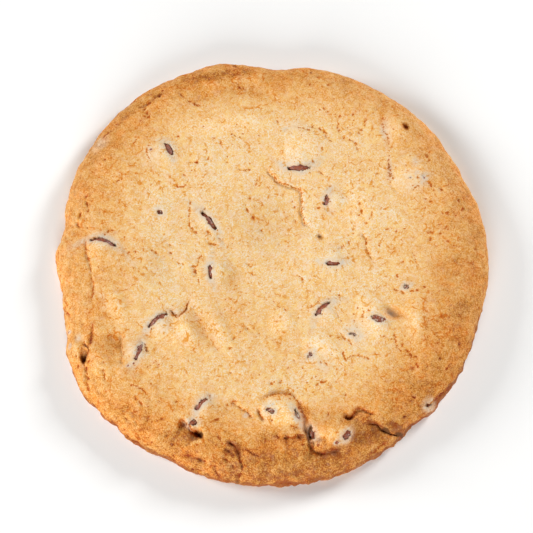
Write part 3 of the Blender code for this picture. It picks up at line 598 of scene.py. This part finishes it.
def chip_placement(chip):
    """Matrix, in millimetres, that lays a drop down with the top of its base's edge in the chip's slit."""
    heading, lift = math.radians(chip.heading), math.radians(chip.lift)
    ahead = Vector((math.cos(heading), math.sin(heading), 0))
    axis = ahead * math.cos(lift) + Vector((0, 0, math.sin(lift)))
    edge_up = Vector((0, 0, math.cos(lift))) - ahead * math.sin(lift)
    ground = dough_height(np.array([chip.x]), np.array([chip.y]))[0]
    slit = Vector((chip.x, chip.y, ground + chip.proud))
    edge = slit - ahead * chip.slit_width / 2
    centre = edge - edge_up * CHIP_RADIUS * chip.size
    turn = axis.to_track_quat("Z", "Y").to_matrix().to_4x4()
    return Matrix.Translation(centre) @ turn


def tops_over(chip, x, y):
    """Height of the chip's upper side over each point, and -inf where the chip isn't below it."""
    points, faces = drop_shape(chip.size)
    placement = chip_placement(chip)
    tree = BVHTree.FromPolygons([placement @ Vector(point) for point in points], faces)
    tops = np.full(len(x), -np.inf)
    span = (CHIP_RADIUS + CHIP_HEIGHT) * chip.size
    for index in np.flatnonzero(np.hypot(x - chip.x, y - chip.y) < span):
        hit = tree.ray_cast(Vector((x[index], y[index], 3 * THICKNESS)), Vector((0, 0, -1)))[0]
        if hit:
            tops[index] = hit.z
    return tops


def slit_place(chip, x, y):
    """How far each point lies along a chip's slit and ahead of it, on an arc that follows the base's edge."""
    ahead, along = along_across(x, y, chip, chip.heading)
    bow = math.sin(math.radians(abs(chip.lift))) * along**2 / (2 * CHIP_RADIUS * chip.size)
    return along, ahead - bow


def slit_share(chip, x, y):
    """1 inside the chip's bare slit, 0 outside it."""
    along, ahead = slit_place(chip, x, y)
    bulge = np.sqrt(np.clip(1 - (2 * along / chip.slit_length) ** 2, 0, 1))
    inside = chip.slit_width / 2 * bulge + lumps(SLIT_RAGS, x, y) - np.abs(ahead)
    return ease(inside / LIP_WIDTH + 0.5) * (bulge > 0)


def slit_distance(chip, x, y):
    """About how many millimetres inside the edge of a chip's slit each point is."""
    along, ahead = slit_place(chip, x, y)
    far = np.hypot(2 * along / chip.slit_length, 2 * ahead / chip.slit_width)
    return (1 - far) * chip.slit_width / 2


# The dough's surface


def lattice_faces(rings):
    """Triangles of a disc of nested rings, where ring k has 6k points and starts at 1 + 3k(k-1)."""
    faces = []
    for ring in range(1, rings + 1):
        outer, inner = 1 + 3 * ring * (ring - 1), 1 + 3 * (ring - 1) * (ring - 2) if ring > 1 else 0
        side, step = (part.ravel() for part in np.meshgrid(range(6), range(ring), indexing="ij"))
        out, out_next = (outer + (side * ring + step + ahead) % (6 * ring) for ahead in (0, 1))
        count = max(1, 6 * (ring - 1))
        within, within_next = (inner + (side * (ring - 1) + step + ahead) % count for ahead in (0, 1))
        faces.append(np.column_stack([out, out_next, within]))
        faces.append(np.column_stack([out_next, within_next, within])[step < ring - 1])
    return np.vstack(faces)


def ring_places(rings):
    """Number of the ring and angle of each point of nested rings, where ring k has 6k points."""
    ring = np.concatenate([[0], np.repeat(np.arange(1, rings + 1), 6 * np.arange(1, rings + 1))])
    step = np.concatenate([[0]] + [np.arange(6 * k) for k in range(1, rings + 1)])
    return ring, TURN * step / np.maximum(6 * ring, 1)


def top_places(rings):
    """Angle of each point of the top, how far it lies from the middle, and how far along the skin."""
    ring, angle = ring_places(rings)
    width = around(SHOULDER_WIDTHS, angle)
    flat = outline_radius(angle) - width
    run = ring / rings * (flat + width * TURN / 4)
    bend = np.clip((run - flat) / width, 0, TURN / 4)
    return angle, np.where(run < flat, run, flat + width * np.sin(bend)), run


def neighbour_pairs(faces):
    ends = np.sort(np.vstack([faces[:, [0, 1]], faces[:, [1, 2]], faces[:, [2, 0]]]), axis=1)
    return np.unique(ends, axis=0).T


def neighbour_sums(values, pairs):
    """For each point, the sum of its neighbours' values."""
    first, second = pairs
    count = len(values)
    return np.bincount(first, values[second], count) + np.bincount(second, values[first], count)


def drape(least, pairs, spacing):
    """The swell of a skin that rests on the least heights and sags smoothly back to none between them."""
    finer = (DRAPE_LENGTH / spacing) ** 2
    keep = 4 * DRAPE_LENGTH**2 / (4 * DRAPE_LENGTH**2 + spacing**2)
    swell = np.zeros(len(least))
    shared = neighbour_sums(np.ones(len(least)), pairs)
    # A finer lattice needs more rounds to spread the swell as far
    for _ in range(round(DRAPE_ROUNDS * finer) + MORE_ROUNDS):
        swell = np.maximum(keep * neighbour_sums(swell, pairs) / shared, least)
    return swell


def surface_heights(x, y, pairs, spacing):
    """Height of the dough's skin at each point, draped over the chips and open at their slits."""
    ground = dough_height(x, y)
    least = np.zeros(len(x))
    openings = []
    for chip in CHIPS:
        tops = tops_over(chip, x, y)
        slit = slit_share(chip, x, y)
        lips = np.exp(-(np.hypot(x - chip.x, y - chip.y) / chip.slit_length) ** 2)
        skin = SKIN + (LIP_SKIN - SKIN) * lips
        least = np.maximum(least, tops + skin - ground)
        openings.append((slit, np.where(np.isfinite(tops), tops - SLIT_DEPTH, np.inf)))
    heights = ground + drape(least, pairs, spacing)
    for slit, floor in openings:
        heights = heights + slit * np.minimum(floor - heights, 0)
    return heights


# The fine relief and what marks the crust


def near_path(points, margin, x, y):
    """Which points lie within about the margin of a path, their distance to it, and how it fades there."""
    path = smooth_path(points)
    near = boxed(path, 1, margin, x, y)
    side, share = beside_path(path, x[near], y[near])
    return near, np.abs(side), end_fade(share)


def crack_marks(x, y):
    """Depth of the thin cracks at each point, how near a crack or fold it is, and how dark the painted shade
    of that one is.
    """
    depth, mark, dark = np.zeros((3, len(x)))
    x, y = swayed(x, y)
    kinds = [(crack, crack.depth, 1, crack.dark) for crack in CRACKS]
    for fold in FOLDS.values():
        plain = min(1, FOLD_MARK + fold.groove + fold.drop / 2) * (fold.width < SOFT_FOLD)
        kinds.append((fold, 0, plain, FOLD_SHADE))
    for line, deepest, plain, painted_shade in kinds:
        near, distance, fade = near_path(line.points, CRACK_SPAN * line.width, x, y)
        tent = plain * fade * np.clip(1 - distance / CRACK_REACH, 0, 1)
        groove = deepest * fade * np.exp(-((distance / line.width) ** 2))
        for total, values in ((depth, groove), (mark, tent), (dark, painted_shade * tent)):
            total[near] = np.maximum(total[near], values)
    return depth, mark, dark


def pore_places():
    """Place, heading, radius and stretch of each pore."""
    chance = np.random.default_rng(PORE_SEED)
    reach = max(OUTLINE_RADII) + max(SHOULDER_WIDTHS)
    pores = []
    for _ in range(PORE_CHAINS):
        distance, angle, heading = reach * math.sqrt(chance.random()), *(TURN * chance.random(2))
        u, v = distance * math.cos(angle), distance * math.sin(angle)
        for _ in range(chance.integers(*CHAIN_LENGTHS, endpoint=True)):
            radius = PORE_RADII[0] + (PORE_RADII[1] - PORE_RADII[0]) * chance.random() ** 2
            pores.append((u, v, heading, radius, 1 + PORE_STRETCH * chance.random()))
            heading += chance.normal(0, CHAIN_TURNS)
            step = chance.uniform(*CHAIN_STEPS)
            u, v = u + step * math.cos(heading), v + step * math.sin(heading)
    return pores


def pore_marks(u, v):
    """Depth of the pores at each point of the unrolled crust, and how far inside a pore it is."""
    depth, mark = np.zeros((2, len(u)))
    for pore_u, pore_v, heading, radius, stretch in pore_places():
        span = 2 * radius * stretch
        near = np.flatnonzero((np.abs(u - pore_u) < span) & (np.abs(v - pore_v) < span))
        to_u, to_v = u[near] - pore_u, v[near] - pore_v
        along = to_u * math.cos(heading) + to_v * math.sin(heading)
        across = to_v * math.cos(heading) - to_u * math.sin(heading)
        far = np.hypot(along / stretch, across) / (2 * radius)
        depth[near] = np.maximum(depth[near], PORE_DEPTH * radius * dome(far))
        mark[near] = np.maximum(mark[near], 1 - far)
    return depth, mark


def spots(ovals, x, y):
    """The strongest of some ovals at each point."""
    return np.max([mound_height(oval, x, y) for oval in ovals], axis=0)


def browning(share, angle, x, y, z):
    """How brown the crust is, from 0 in the pale middle to about 1 on a dark rim, with painted shade added at
    the front of the foot and in some hollows and gaps.
    """
    start = around(BROWN_STARTS, angle)
    rim = around(RIM_BROWN, angle) * ease((share - start) / (1 - start))
    foot = around(FOOT_BROWN_AND_SHADE, angle) * ease(1 - z / FOOT_REACH)
    return np.clip(rim + foot + spots(BROWN_AND_SHADE_SPOTS, x, y) - spots(GOLDEN_SPOTS, x, y), 0, 1)


# The dough's mesh


def wall_rings(rim):
    """Rings of points from the belly down the wall to the foot, below the given rim."""
    angle = TURN * np.arange(len(rim)) / len(rim)
    outwards = np.column_stack([np.cos(angle), np.sin(angle), np.zeros(len(rim))])
    rows = []
    for row in range(1, WALL_ROWS + 1):
        turn = TURN / 4 * row / WALL_ROWS
        wall = rim - outwards * FOOT_TUCK * (1 - math.cos(turn))
        wall[:, 2] = BELLY_HEIGHT * (1 - math.sin(turn))
        rows.append(wall)
    return np.vstack(rows)


def under_disc():
    """Points of the underside, which lies on the table but for shallow hollows."""
    ring, angle = ring_places(UNDER_RINGS)
    distance = (outline_radius(angle) - FOOT_TUCK) * ring / (UNDER_RINGS + 1)
    x, y = distance * np.cos(angle), distance * np.sin(angle)
    return np.column_stack([x, y, lumps(UNDER_HOLLOWS, x, y) ** 2])


def step_faces(outer, outer_count, inner, inner_count):
    """Triangles between two closed rings of points, the inner of no more points than the outer."""
    step = np.arange(outer_count)
    after = (step + 1) % outer_count
    match = step * inner_count // outer_count
    next_match = (step + 1) * inner_count // outer_count
    wide = np.column_stack([outer + step, inner + match, outer + after])
    turns = next_match > match
    narrow = np.column_stack(
        [outer + after[turns], inner + match[turns], inner + next_match[turns] % inner_count]
    )
    return np.vstack([wide, narrow])


def dough_points():
    """Points of the dough's skin, the same points unrolled flat, and the faces between them."""
    angle, distance, run = top_places(SURFACE_RINGS)
    x, y = distance * np.cos(angle), distance * np.sin(angle)
    top_faces = lattice_faces(SURFACE_RINGS)
    spacing = TURN * max(OUTLINE_RADII) / (6 * SURFACE_RINGS)
    top = np.column_stack([x, y, surface_heights(x, y, neighbour_pairs(top_faces), spacing)])
    rim = 6 * SURFACE_RINGS
    walls = wall_rings(top[-rim:])
    under = under_disc()

    reach = np.concatenate([run, np.tile(run[-rim:], WALL_ROWS)])
    reach[len(run) :] += BELLY_HEIGHT * np.repeat(np.arange(1, WALL_ROWS + 1), rim) / WALL_ROWS
    turned = np.concatenate([angle, np.tile(angle[-rim:], WALL_ROWS)])
    skin = np.column_stack([reach * np.cos(turned), reach * np.sin(turned)])
    unrolled = np.vstack([skin, under[:, :2] + UNDER_SHIFT])

    ring_starts = len(top) - rim + rim * np.arange(WALL_ROWS + 1)
    bands = [step_faces(start, rim, start + rim, rim) for start in ring_starts[:-1]]
    under_start = len(top) + len(walls)
    under_rim = 6 * UNDER_RINGS
    joint = step_faces(ring_starts[-1], rim, under_start + len(under) - under_rim, under_rim)
    bottom = under_start + lattice_faces(UNDER_RINGS)[:, ::-1]
    return np.vstack([top, walls, under]), unrolled, np.vstack([top_faces, *bands, joint, bottom])


def outward_normals(points, faces):
    """Unit normals of the points, from the faces round each."""
    a, b, c = (points[faces[:, corner]] for corner in range(3))
    cross = np.cross(b - a, c - a)
    totals = np.column_stack(
        [
            sum(np.bincount(faces[:, corner], cross[:, axis], len(points)) for corner in range(3))
            for axis in range(3)
        ]
    )
    return totals / np.linalg.norm(totals, axis=1, keepdims=True)


def concavity(points, faces):
    """How far each point lies below its surroundings, in millimetres, on average over near and wide ones."""
    pairs = neighbour_pairs(faces)
    shared = neighbour_sums(np.ones(len(points)), pairs)
    normals = outward_normals(points, faces)
    smooth, depths = points, []
    for step in range(1, max(HOLLOW_STEPS) + 1):
        smooth = np.column_stack([neighbour_sums(part, pairs) / shared for part in smooth.T])
        if step in HOLLOW_STEPS:
            depths.append(((smooth - points) * normals).sum(axis=1))
    return np.mean(depths, axis=0)


def placed(name, data):
    """A new object of the scene."""
    made = bpy.data.objects.new(name, data)
    bpy.context.scene.collection.objects.link(made)
    return made


def new_piece(name, points, faces, finish, node):
    """A smooth piece of the scene, from points in millimetres, that stands for a node of the solid."""
    mesh = bpy.data.meshes.new(name)
    mesh.from_pydata(np.array(points) * MM, [], [tuple(face) for face in faces])
    mesh.shade_smooth()
    mesh.materials.append(finish)
    made = placed(name, mesh)
    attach(made, "root")
    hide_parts(node)
    return made


def mark(piece, name, values):
    """Stores a share for each point, which the material reads by name."""
    layer = piece.data.attributes.new(name, "FLOAT", "POINT")
    layer.data.foreach_set("value", values.astype(np.float32))


def skin_marks(x, y):
    """How pale and how grey the skin is over and round the chips, and how far inside bare chocolate it is."""
    pale = spots(PALE_SPOTS, x, y)
    shown = spots(CHOCOLATE_SPOTS, x, y)
    inside = shown - 0.5
    grey = np.maximum(ease(2 * shown), spots(GREY_SPOTS, x, y))
    for chip in CHIPS:
        distance = slit_distance(chip, x, y)
        grey = np.maximum(grey, ease(1 + distance / HALO_WIDTH))
        inside = np.maximum(inside, distance - VEIL_REACH * chip.veil)
    return pale, grey, np.clip(0.5 + inside, 0, 1)


def make_dough(finish):
    points, unrolled, faces = dough_points()
    x, y, z = points.T
    u, v = unrolled.T
    angle = np.arctan2(y, x)
    share = np.hypot(x, y) / outline_radius(angle)
    on_top = (np.arange(len(points)) < len(points) - len(under_disc())).astype(float)

    brown = np.maximum(browning(share, angle, x, y, z), UNDER_BROWN * (1 - on_top))
    crack_depth, crack, dark = crack_marks(x, y)
    # the dark share is painted shade in cracks, folds, crevices, gaps and pits
    dark = np.maximum(dark, spots(SHADED_CREVICE_SPOTS, x, y))
    pore_depth, pore = pore_marks(u, v)
    relief = lumps(WRINKLES, u, v) + brown * lumps(BROWN_WRINKLES, u, v) - pore_depth - crack_depth
    shaped = points + outward_normals(points, faces) * (relief * on_top)[:, None]
    lowest, highest = (np.array(corner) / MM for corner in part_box("dough"))
    shaped = np.clip(shaped, lowest, highest)

    pale, grey, inside = skin_marks(x, y)
    shares = {
        # painted shade: the crust browns with a hollow's depth
        "hollow": np.minimum(concavity(shaped, faces), HOLLOW_MOST),
        # painted light on the broad mounds and painted shade in the broad hollows
        "relief": 0.5 * np.clip(broad_relief(x, y), -1, 1),
        "crack": crack,
        "dark": dark,
        "pale": pale,
        "grey": grey,
        "chocolate": inside,
    }
    dough = new_piece("crust", shaped, faces, finish, "dough")
    mark(dough, "brown", brown)
    mark(dough, "pore", pore)
    for name, values in shares.items():
        mark(dough, name, values * on_top)


def make_chips(finish):
    for number, chip in enumerate(CHIPS):
        points, faces = drop_shape(chip.size)
        points = np.array(points)
        waves = lumps(CHIP_WAVES, points[:, 0] + WAVE_SHIFT * number, points[:, 1] + points[:, 2])
        points *= 1 + waves[:, None] / CHIP_RADIUS
        placement = chip_placement(chip)
        points = [placement @ Vector(point) for point in points]
        name, node = (f"{kind}_{number + 1:02}" for kind in ("chocolate", "chip"))
        piece = new_piece(name, points, faces, finish, node)
        mark(piece, "veil", np.full(len(points), chip.veil))


# Materials


class Recipe:
    """One node material, with short ways to add its nodes."""

    def __init__(self, name):
        self.material = bpy.data.materials.new(name)
        self.material.use_nodes = True
        self.tree = self.material.node_tree
        self.shader = self.tree.nodes["Principled BSDF"]
        self.place = self.scaled(self.node("TexCoord").outputs["Object"], 1 / MM)

    def fill(self, socket, value):
        if isinstance(value, bpy.types.NodeSocket):
            self.tree.links.new(value, socket)
        else:
            socket.default_value = value

    def node(self, kind, inputs=(), **settings):
        """A new node with its settings, and its inputs as pairs of name or number and value."""
        node = self.tree.nodes.new("ShaderNode" + kind)
        for name, setting in settings.items():
            setattr(node, name, setting)
        for name, value in inputs:
            self.fill(node.inputs[name], value)
        return node

    def vector(self, operation, first, second):
        return self.node("VectorMath", enumerate((first, second)), operation=operation).outputs[0]

    def scaled(self, vector, scale):
        return self.node("VectorMath", ((0, vector), ("Scale", scale)), operation="SCALE").outputs[0]

    def math(self, operation, first, second):
        return self.node("Math", enumerate((first, second)), operation=operation).outputs[0]

    def times(self, first, second):
        return self.math("MULTIPLY", first, second)

    def total(self, *parts):
        """The sum of values, or of pairs of a value and what it is multiplied by."""
        total = 0
        for part in parts:
            value = self.times(*part) if isinstance(part, tuple) else part
            total = self.math("ADD", value, total)
        return total

    def share(self, name):
        """A share that the mesh holds for each point."""
        return self.node("Attribute", attribute_name=name).outputs["Fac"]

    def noise(self, size, detail=2, roughness=0.5, output="Fac"):
        """Noise from about 0 to 1, whose lumps are about the given millimetres across."""
        inputs = (("Vector", self.place), ("Scale", 1 / size), ("Detail", detail), ("Roughness", roughness))
        return self.node("TexNoise", inputs).outputs[output]

    def wander(self, size, detail=2):
        """Noise from about -0.5 to 0.5."""
        return self.math("SUBTRACT", self.noise(size, detail, 0.6), 0.5)

    def voronoi(self, size, feature, place):
        return self.node("TexVoronoi", (("Vector", place), ("Scale", 1 / size)), feature=feature).outputs

    def rise(self, value, low, high, start=0, end=1):
        """Goes smoothly from start to end as the value goes from low to high."""
        inputs = enumerate((value, low, high, start, end))
        return self.node("MapRange", inputs, interpolation_type="SMOOTHSTEP").outputs["Result"]

    def ramp(self, value, stops):
        """Colours at shares from 0 to 1, as pairs of share and colour."""
        node = self.node("ValToRGB", ((0, value),))
        elements = node.color_ramp.elements
        elements.remove(elements[1])
        elements[0].color = (*stops[0][1], 1)
        for position, colour in stops[1:]:
            elements.new(position).color = (*colour, 1)
        return node.outputs["Color"]

    def mix(self, factor, first, second, blend="MIX"):
        first, second = ((*part, 1) if isinstance(part, tuple) else part for part in (first, second))
        inputs = ((0, factor), (6, first), (7, second))
        return self.node("Mix", inputs, data_type="RGBA", blend_type=blend).outputs[2]

    def bump(self, height, distance, below=None):
        """A bump of the given height in millimetres where the share goes from 0 to 1."""
        inputs = [("Height", height), ("Distance", distance * MM)]
        if below is not None:
            inputs.append(("Normal", below))
        return self.node("Bump", inputs).outputs["Normal"]

    def chocolate(self, veil):
        """Dark chocolate, redder and bloomed in patches, with flecks of skin over it."""
        colour = self.mix(self.rise(self.noise(0.9, 2), 0.38, 0.56), CHOCOLATE_COLOUR, RED_COLOUR)
        bloom = self.rise(self.noise(0.5, 3, 0.65), 0.50, 0.70, 0, 0.6)
        colour = self.mix(bloom, colour, BLOOM_COLOUR)
        flecks = self.total(self.noise(0.42, 2), (veil, 0.25))
        return self.mix(self.rise(flecks, 0.62, 0.70, 0, 0.8), colour, BLOOM_EDGE_COLOUR)


class Crust(Recipe):
    """Baked crust, whose colour is laid on step by step from the browning to the bare chocolate."""

    def __init__(self):
        super().__init__("Baked crust")
        self.brown = self.share("brown")
        # painted shade in crevices, gaps, pits and dark cracks
        self.dark = self.share("dark")
        self.grain = self.noise(1.4, 4, 0.75)
        self.fine = self.wander(0.33, 1)
        self.speckle = self.total(self.fine, (self.wander(0.75), 0.8))
        self.ragged = self.wander(0.6)
        self.crack = self.rise(self.total(self.share("crack"), (self.ragged, 2)), 0.62, 0.90)
        self.small_dots = self.dots(0.9, 0.40, 0.12, 0.32)
        self.large_dots = self.dots(2, 0.35, 0.08, 0.17)
        clusters = self.rise(self.noise(6, 2), 0.44, 0.58, 0.25, 1)
        self.coarse_lines = self.times(self.crackle(3.4, 0.26, 0.50), clusters)
        self.fine_lines = self.times(self.crackle(1.5, 0.16, 0.54), clusters)
        self.colour = self.ramp(self.browning(), CRUST_TONES)

    def warped(self, size, distance):
        """Places shifted by up to about the given millimetres, to make dots and lines uneven."""
        shift = self.vector("SUBTRACT", self.noise(size, 1, output="Color"), (0.5, 0.5, 0.5))
        return self.vector("ADD", self.place, self.scaled(shift, 2 * distance))

    def dots(self, size, share, low, high):
        """Dots in a share of cells of the given millimetres, whose radius is from low to high of the cell."""
        cells = self.voronoi(size, "F1", self.warped(0.5, 0.35))
        chance = self.math("FRACT", self.times(cells["Color"], 7), 0)
        chosen = self.math("LESS_THAN", cells["Color"], share)
        radius = self.rise(chance, 0, 1, low, high)
        inside = self.math("SUBTRACT", radius, cells["Distance"])
        return self.times(chosen, self.rise(inside, 0, 0.06))

    def crackle(self, size, width, low):
        """Thin broken lines round uneven cells of the given millimetres, where noise is above low."""
        place = self.warped(0.45 * size, 0.22 * size)
        edge = self.voronoi(size, "DISTANCE_TO_EDGE", place)["Distance"]
        line = self.rise(edge, 0.3 * width / size, width / size, 1, 0)
        return self.times(line, self.rise(self.noise(0.4 * size, 2), low, low + 0.08))

    def browning(self):
        """How brown the crust is, with its patches and grains, and with painted shade in the hollows."""
        patches = self.noise(7, 2), 0.33
        # Painted shade: hollows are browner by their depth.
        hollows = self.share("hollow"), HOLLOW_SHADE
        grains = (self.grain, 0.82), (self.fine, 0.6), (self.times(self.speckle, self.brown), 0.3)
        return self.total(self.brown, patches, hollows, *grains, PALENESS)

    def lay(self, share, colour, blend="MIX"):
        """Lays a colour over what is there, as thickly as the share says."""
        self.colour = self.mix(share, self.colour, colour, blend)

    def tint(self, share, colour):
        self.lay(share, colour, "MULTIPLY")

    def lay_crust(self):
        """Grain, rusty patches, yellow, pink and floury patches, and painted light and shade that follow the
        broad relief.
        """
        self.tint(self.rise(self.speckle, -0.14, 0.14), GRAIN_TINT)
        rust = self.rise(self.noise(5, 3), 0.46, 0.62)
        self.tint(self.times(rust, self.rise(self.brown, 0.1, 0.6)), RUST_TINT)
        pallor = self.rise(self.brown, 0, 0.6, 1, 0.2)
        for size, colour in ((2.6, YELLOW_COLOUR), (1.6, PINK_COLOUR)):
            patches = self.rise(self.noise(size, 4, 0.7), 0.50, 0.64, 0, 0.45)
            self.lay(self.times(patches, pallor), colour)
        flour = self.rise(self.noise(0.7, 3, 0.7), 0.56, 0.72, 0, 0.6)
        self.lay(self.times(flour, pallor), FLOUR_COLOUR)
        # Painted light on the broad mounds and painted shade in the broad hollows.
        self.tint(1, self.mix(self.math("ADD", self.share("relief"), 0.5), PAINTED_SHADE_TINT, PAINTED_LIGHT_TINT))

    def lay_skin(self):
        """Pale and greyish skin over the chips."""
        pale = self.times(self.share("pale"), self.rise(self.grain, 0.30, 0.62, 1, 0.35))
        self.lay(self.times(pale, 0.85), PALE_COLOUR)
        grey = self.times(self.share("grey"), self.rise(self.grain, 0.34, 0.60, 1, 0.4))
        self.lay(grey, BLOOM_EDGE_COLOUR)

    def lay_marks(self):
        """Dots, and painted shade in pores, cracks, crevices and pits."""
        pore = self.rise(self.total(self.share("pore"), (self.ragged, 1.4)), 0.50, 0.72)
        self.tint(self.times(self.fine_lines, 0.6), DOT_TINT)
        self.tint(self.coarse_lines, DOT_TINT)
        self.tint(self.times(self.small_dots, 0.8), DOT_TINT)
        # Painted shade in the large dots, pores and cracks: a darker, warmer tint of the crust.
        for share in (self.large_dots, pore, self.crack):
            self.tint(share, PIT_SHADE_TINT)
        # Painted shade, near black, in the dark cracks, crevices, gaps and pits.
        self.lay(self.times(self.crack, self.dark), CREVICE_SHADE_COLOUR)
        crevice_shade = self.rise(self.total(self.dark, (self.ragged, 0.8)), 0.35, 1, 0, 0.95)
        self.lay(crevice_shade, CREVICE_SHADE_COLOUR)

    def lay_chocolate(self):
        stain = self.rise(self.total(self.share("chocolate"), (self.ragged, 1)), 0.64, 0.76)
        self.lay(stain, self.chocolate(0))

    def relief(self):
        """A bump for the marks and another for the grain."""
        dots = (self.small_dots, -0.3), (self.large_dots, -0.5)
        marks = self.total(self.fine, *dots, (self.coarse_lines, -0.2), (self.crack, -0.3))
        return self.bump(self.grain, 0.09, self.bump(marks, 0.025))


def crust_material():
    """Baked crust, with the skin over the chips and what shows through it."""
    crust = Crust()
    crust.lay_crust()
    crust.lay_skin()
    crust.lay_marks()
    crust.lay_chocolate()
    crust.fill(crust.shader.inputs["Base Color"], crust.colour)
    crust.fill(crust.shader.inputs["Normal"], crust.relief())
    crust.fill(crust.shader.inputs["Roughness"], crust.rise(crust.fine, -0.2, 0.2, 0.60, 0.85))
    crust.shader.inputs["Specular IOR Level"].default_value = 0.25
    return crust.material


def chocolate_material():
    """Dull dark chocolate."""
    recipe = Recipe("Chocolate")
    recipe.fill(recipe.shader.inputs["Base Color"], recipe.chocolate(recipe.share("veil")))
    recipe.fill(recipe.shader.inputs["Roughness"], recipe.rise(recipe.noise(0.8), 0.3, 0.7, 0.40, 0.6))
    recipe.fill(recipe.shader.inputs["Normal"], recipe.bump(recipe.noise(0.5, 3), 0.12))
    return recipe.material


# The studio


def make_floor():
    """A plain pale floor."""
    mesh = bpy.data.meshes.new("floor")
    far = FLOOR_SIZE / 2
    corners = [(-far, -far, 0), (far, -far, 0), (far, far, 0), (-far, far, 0)]
    mesh.from_pydata(corners, [], [(0, 1, 2, 3)])
    floor = placed("floor", mesh)
    paper = bpy.data.materials.new("Floor paper")
    paper.use_nodes = True
    shader = paper.node_tree.nodes["Principled BSDF"]
    shader.inputs["Base Color"].default_value = (*FLOOR_COLOUR, 1)
    shader.inputs["Roughness"].default_value = 0.9
    mesh.materials.append(paper)


def make_camera():
    """The camera at the photograph's angle, looking down from the front."""
    camera = bpy.data.cameras.new("camera")
    camera.lens = LENS
    camera.sensor_width = SENSOR
    holder = placed("camera", camera)
    elevation = math.radians(CAMERA_ELEVATION)
    back = Vector((0, -math.cos(elevation), math.sin(elevation)))
    holder.location = (Vector(CAMERA_AIM) + back * CAMERA_DISTANCE) * MM
    holder.rotation_euler = (TURN / 4 - elevation, 0, 0)
    bpy.context.scene.camera = holder


def make_light(name, place, size, power):
    """A square soft white light that faces the cookie, with its place and size in metres."""
    lamp = bpy.data.lights.new(name, "AREA")
    lamp.size = size
    lamp.energy = power
    holder = placed(name, lamp)
    holder.location = place
    holder.rotation_euler = (-Vector(place)).to_track_quat("-Z", "Y").to_euler()


def make_studio():
    make_floor()
    make_camera()
    for light in LIGHTS:
        make_light(*light)
    world = bpy.data.worlds.new("studio")
    world.use_nodes = True
    background = world.node_tree.nodes["Background"]
    background.inputs["Color"].default_value = (*AMBIENT_COLOUR, 1)
    background.inputs["Strength"].default_value = AMBIENT_STRENGTH
    bpy.context.scene.world = world
    bpy.context.scene.view_settings.view_transform = "Standard"


make_dough(crust_material())
make_chips(chocolate_material())
make_studio()
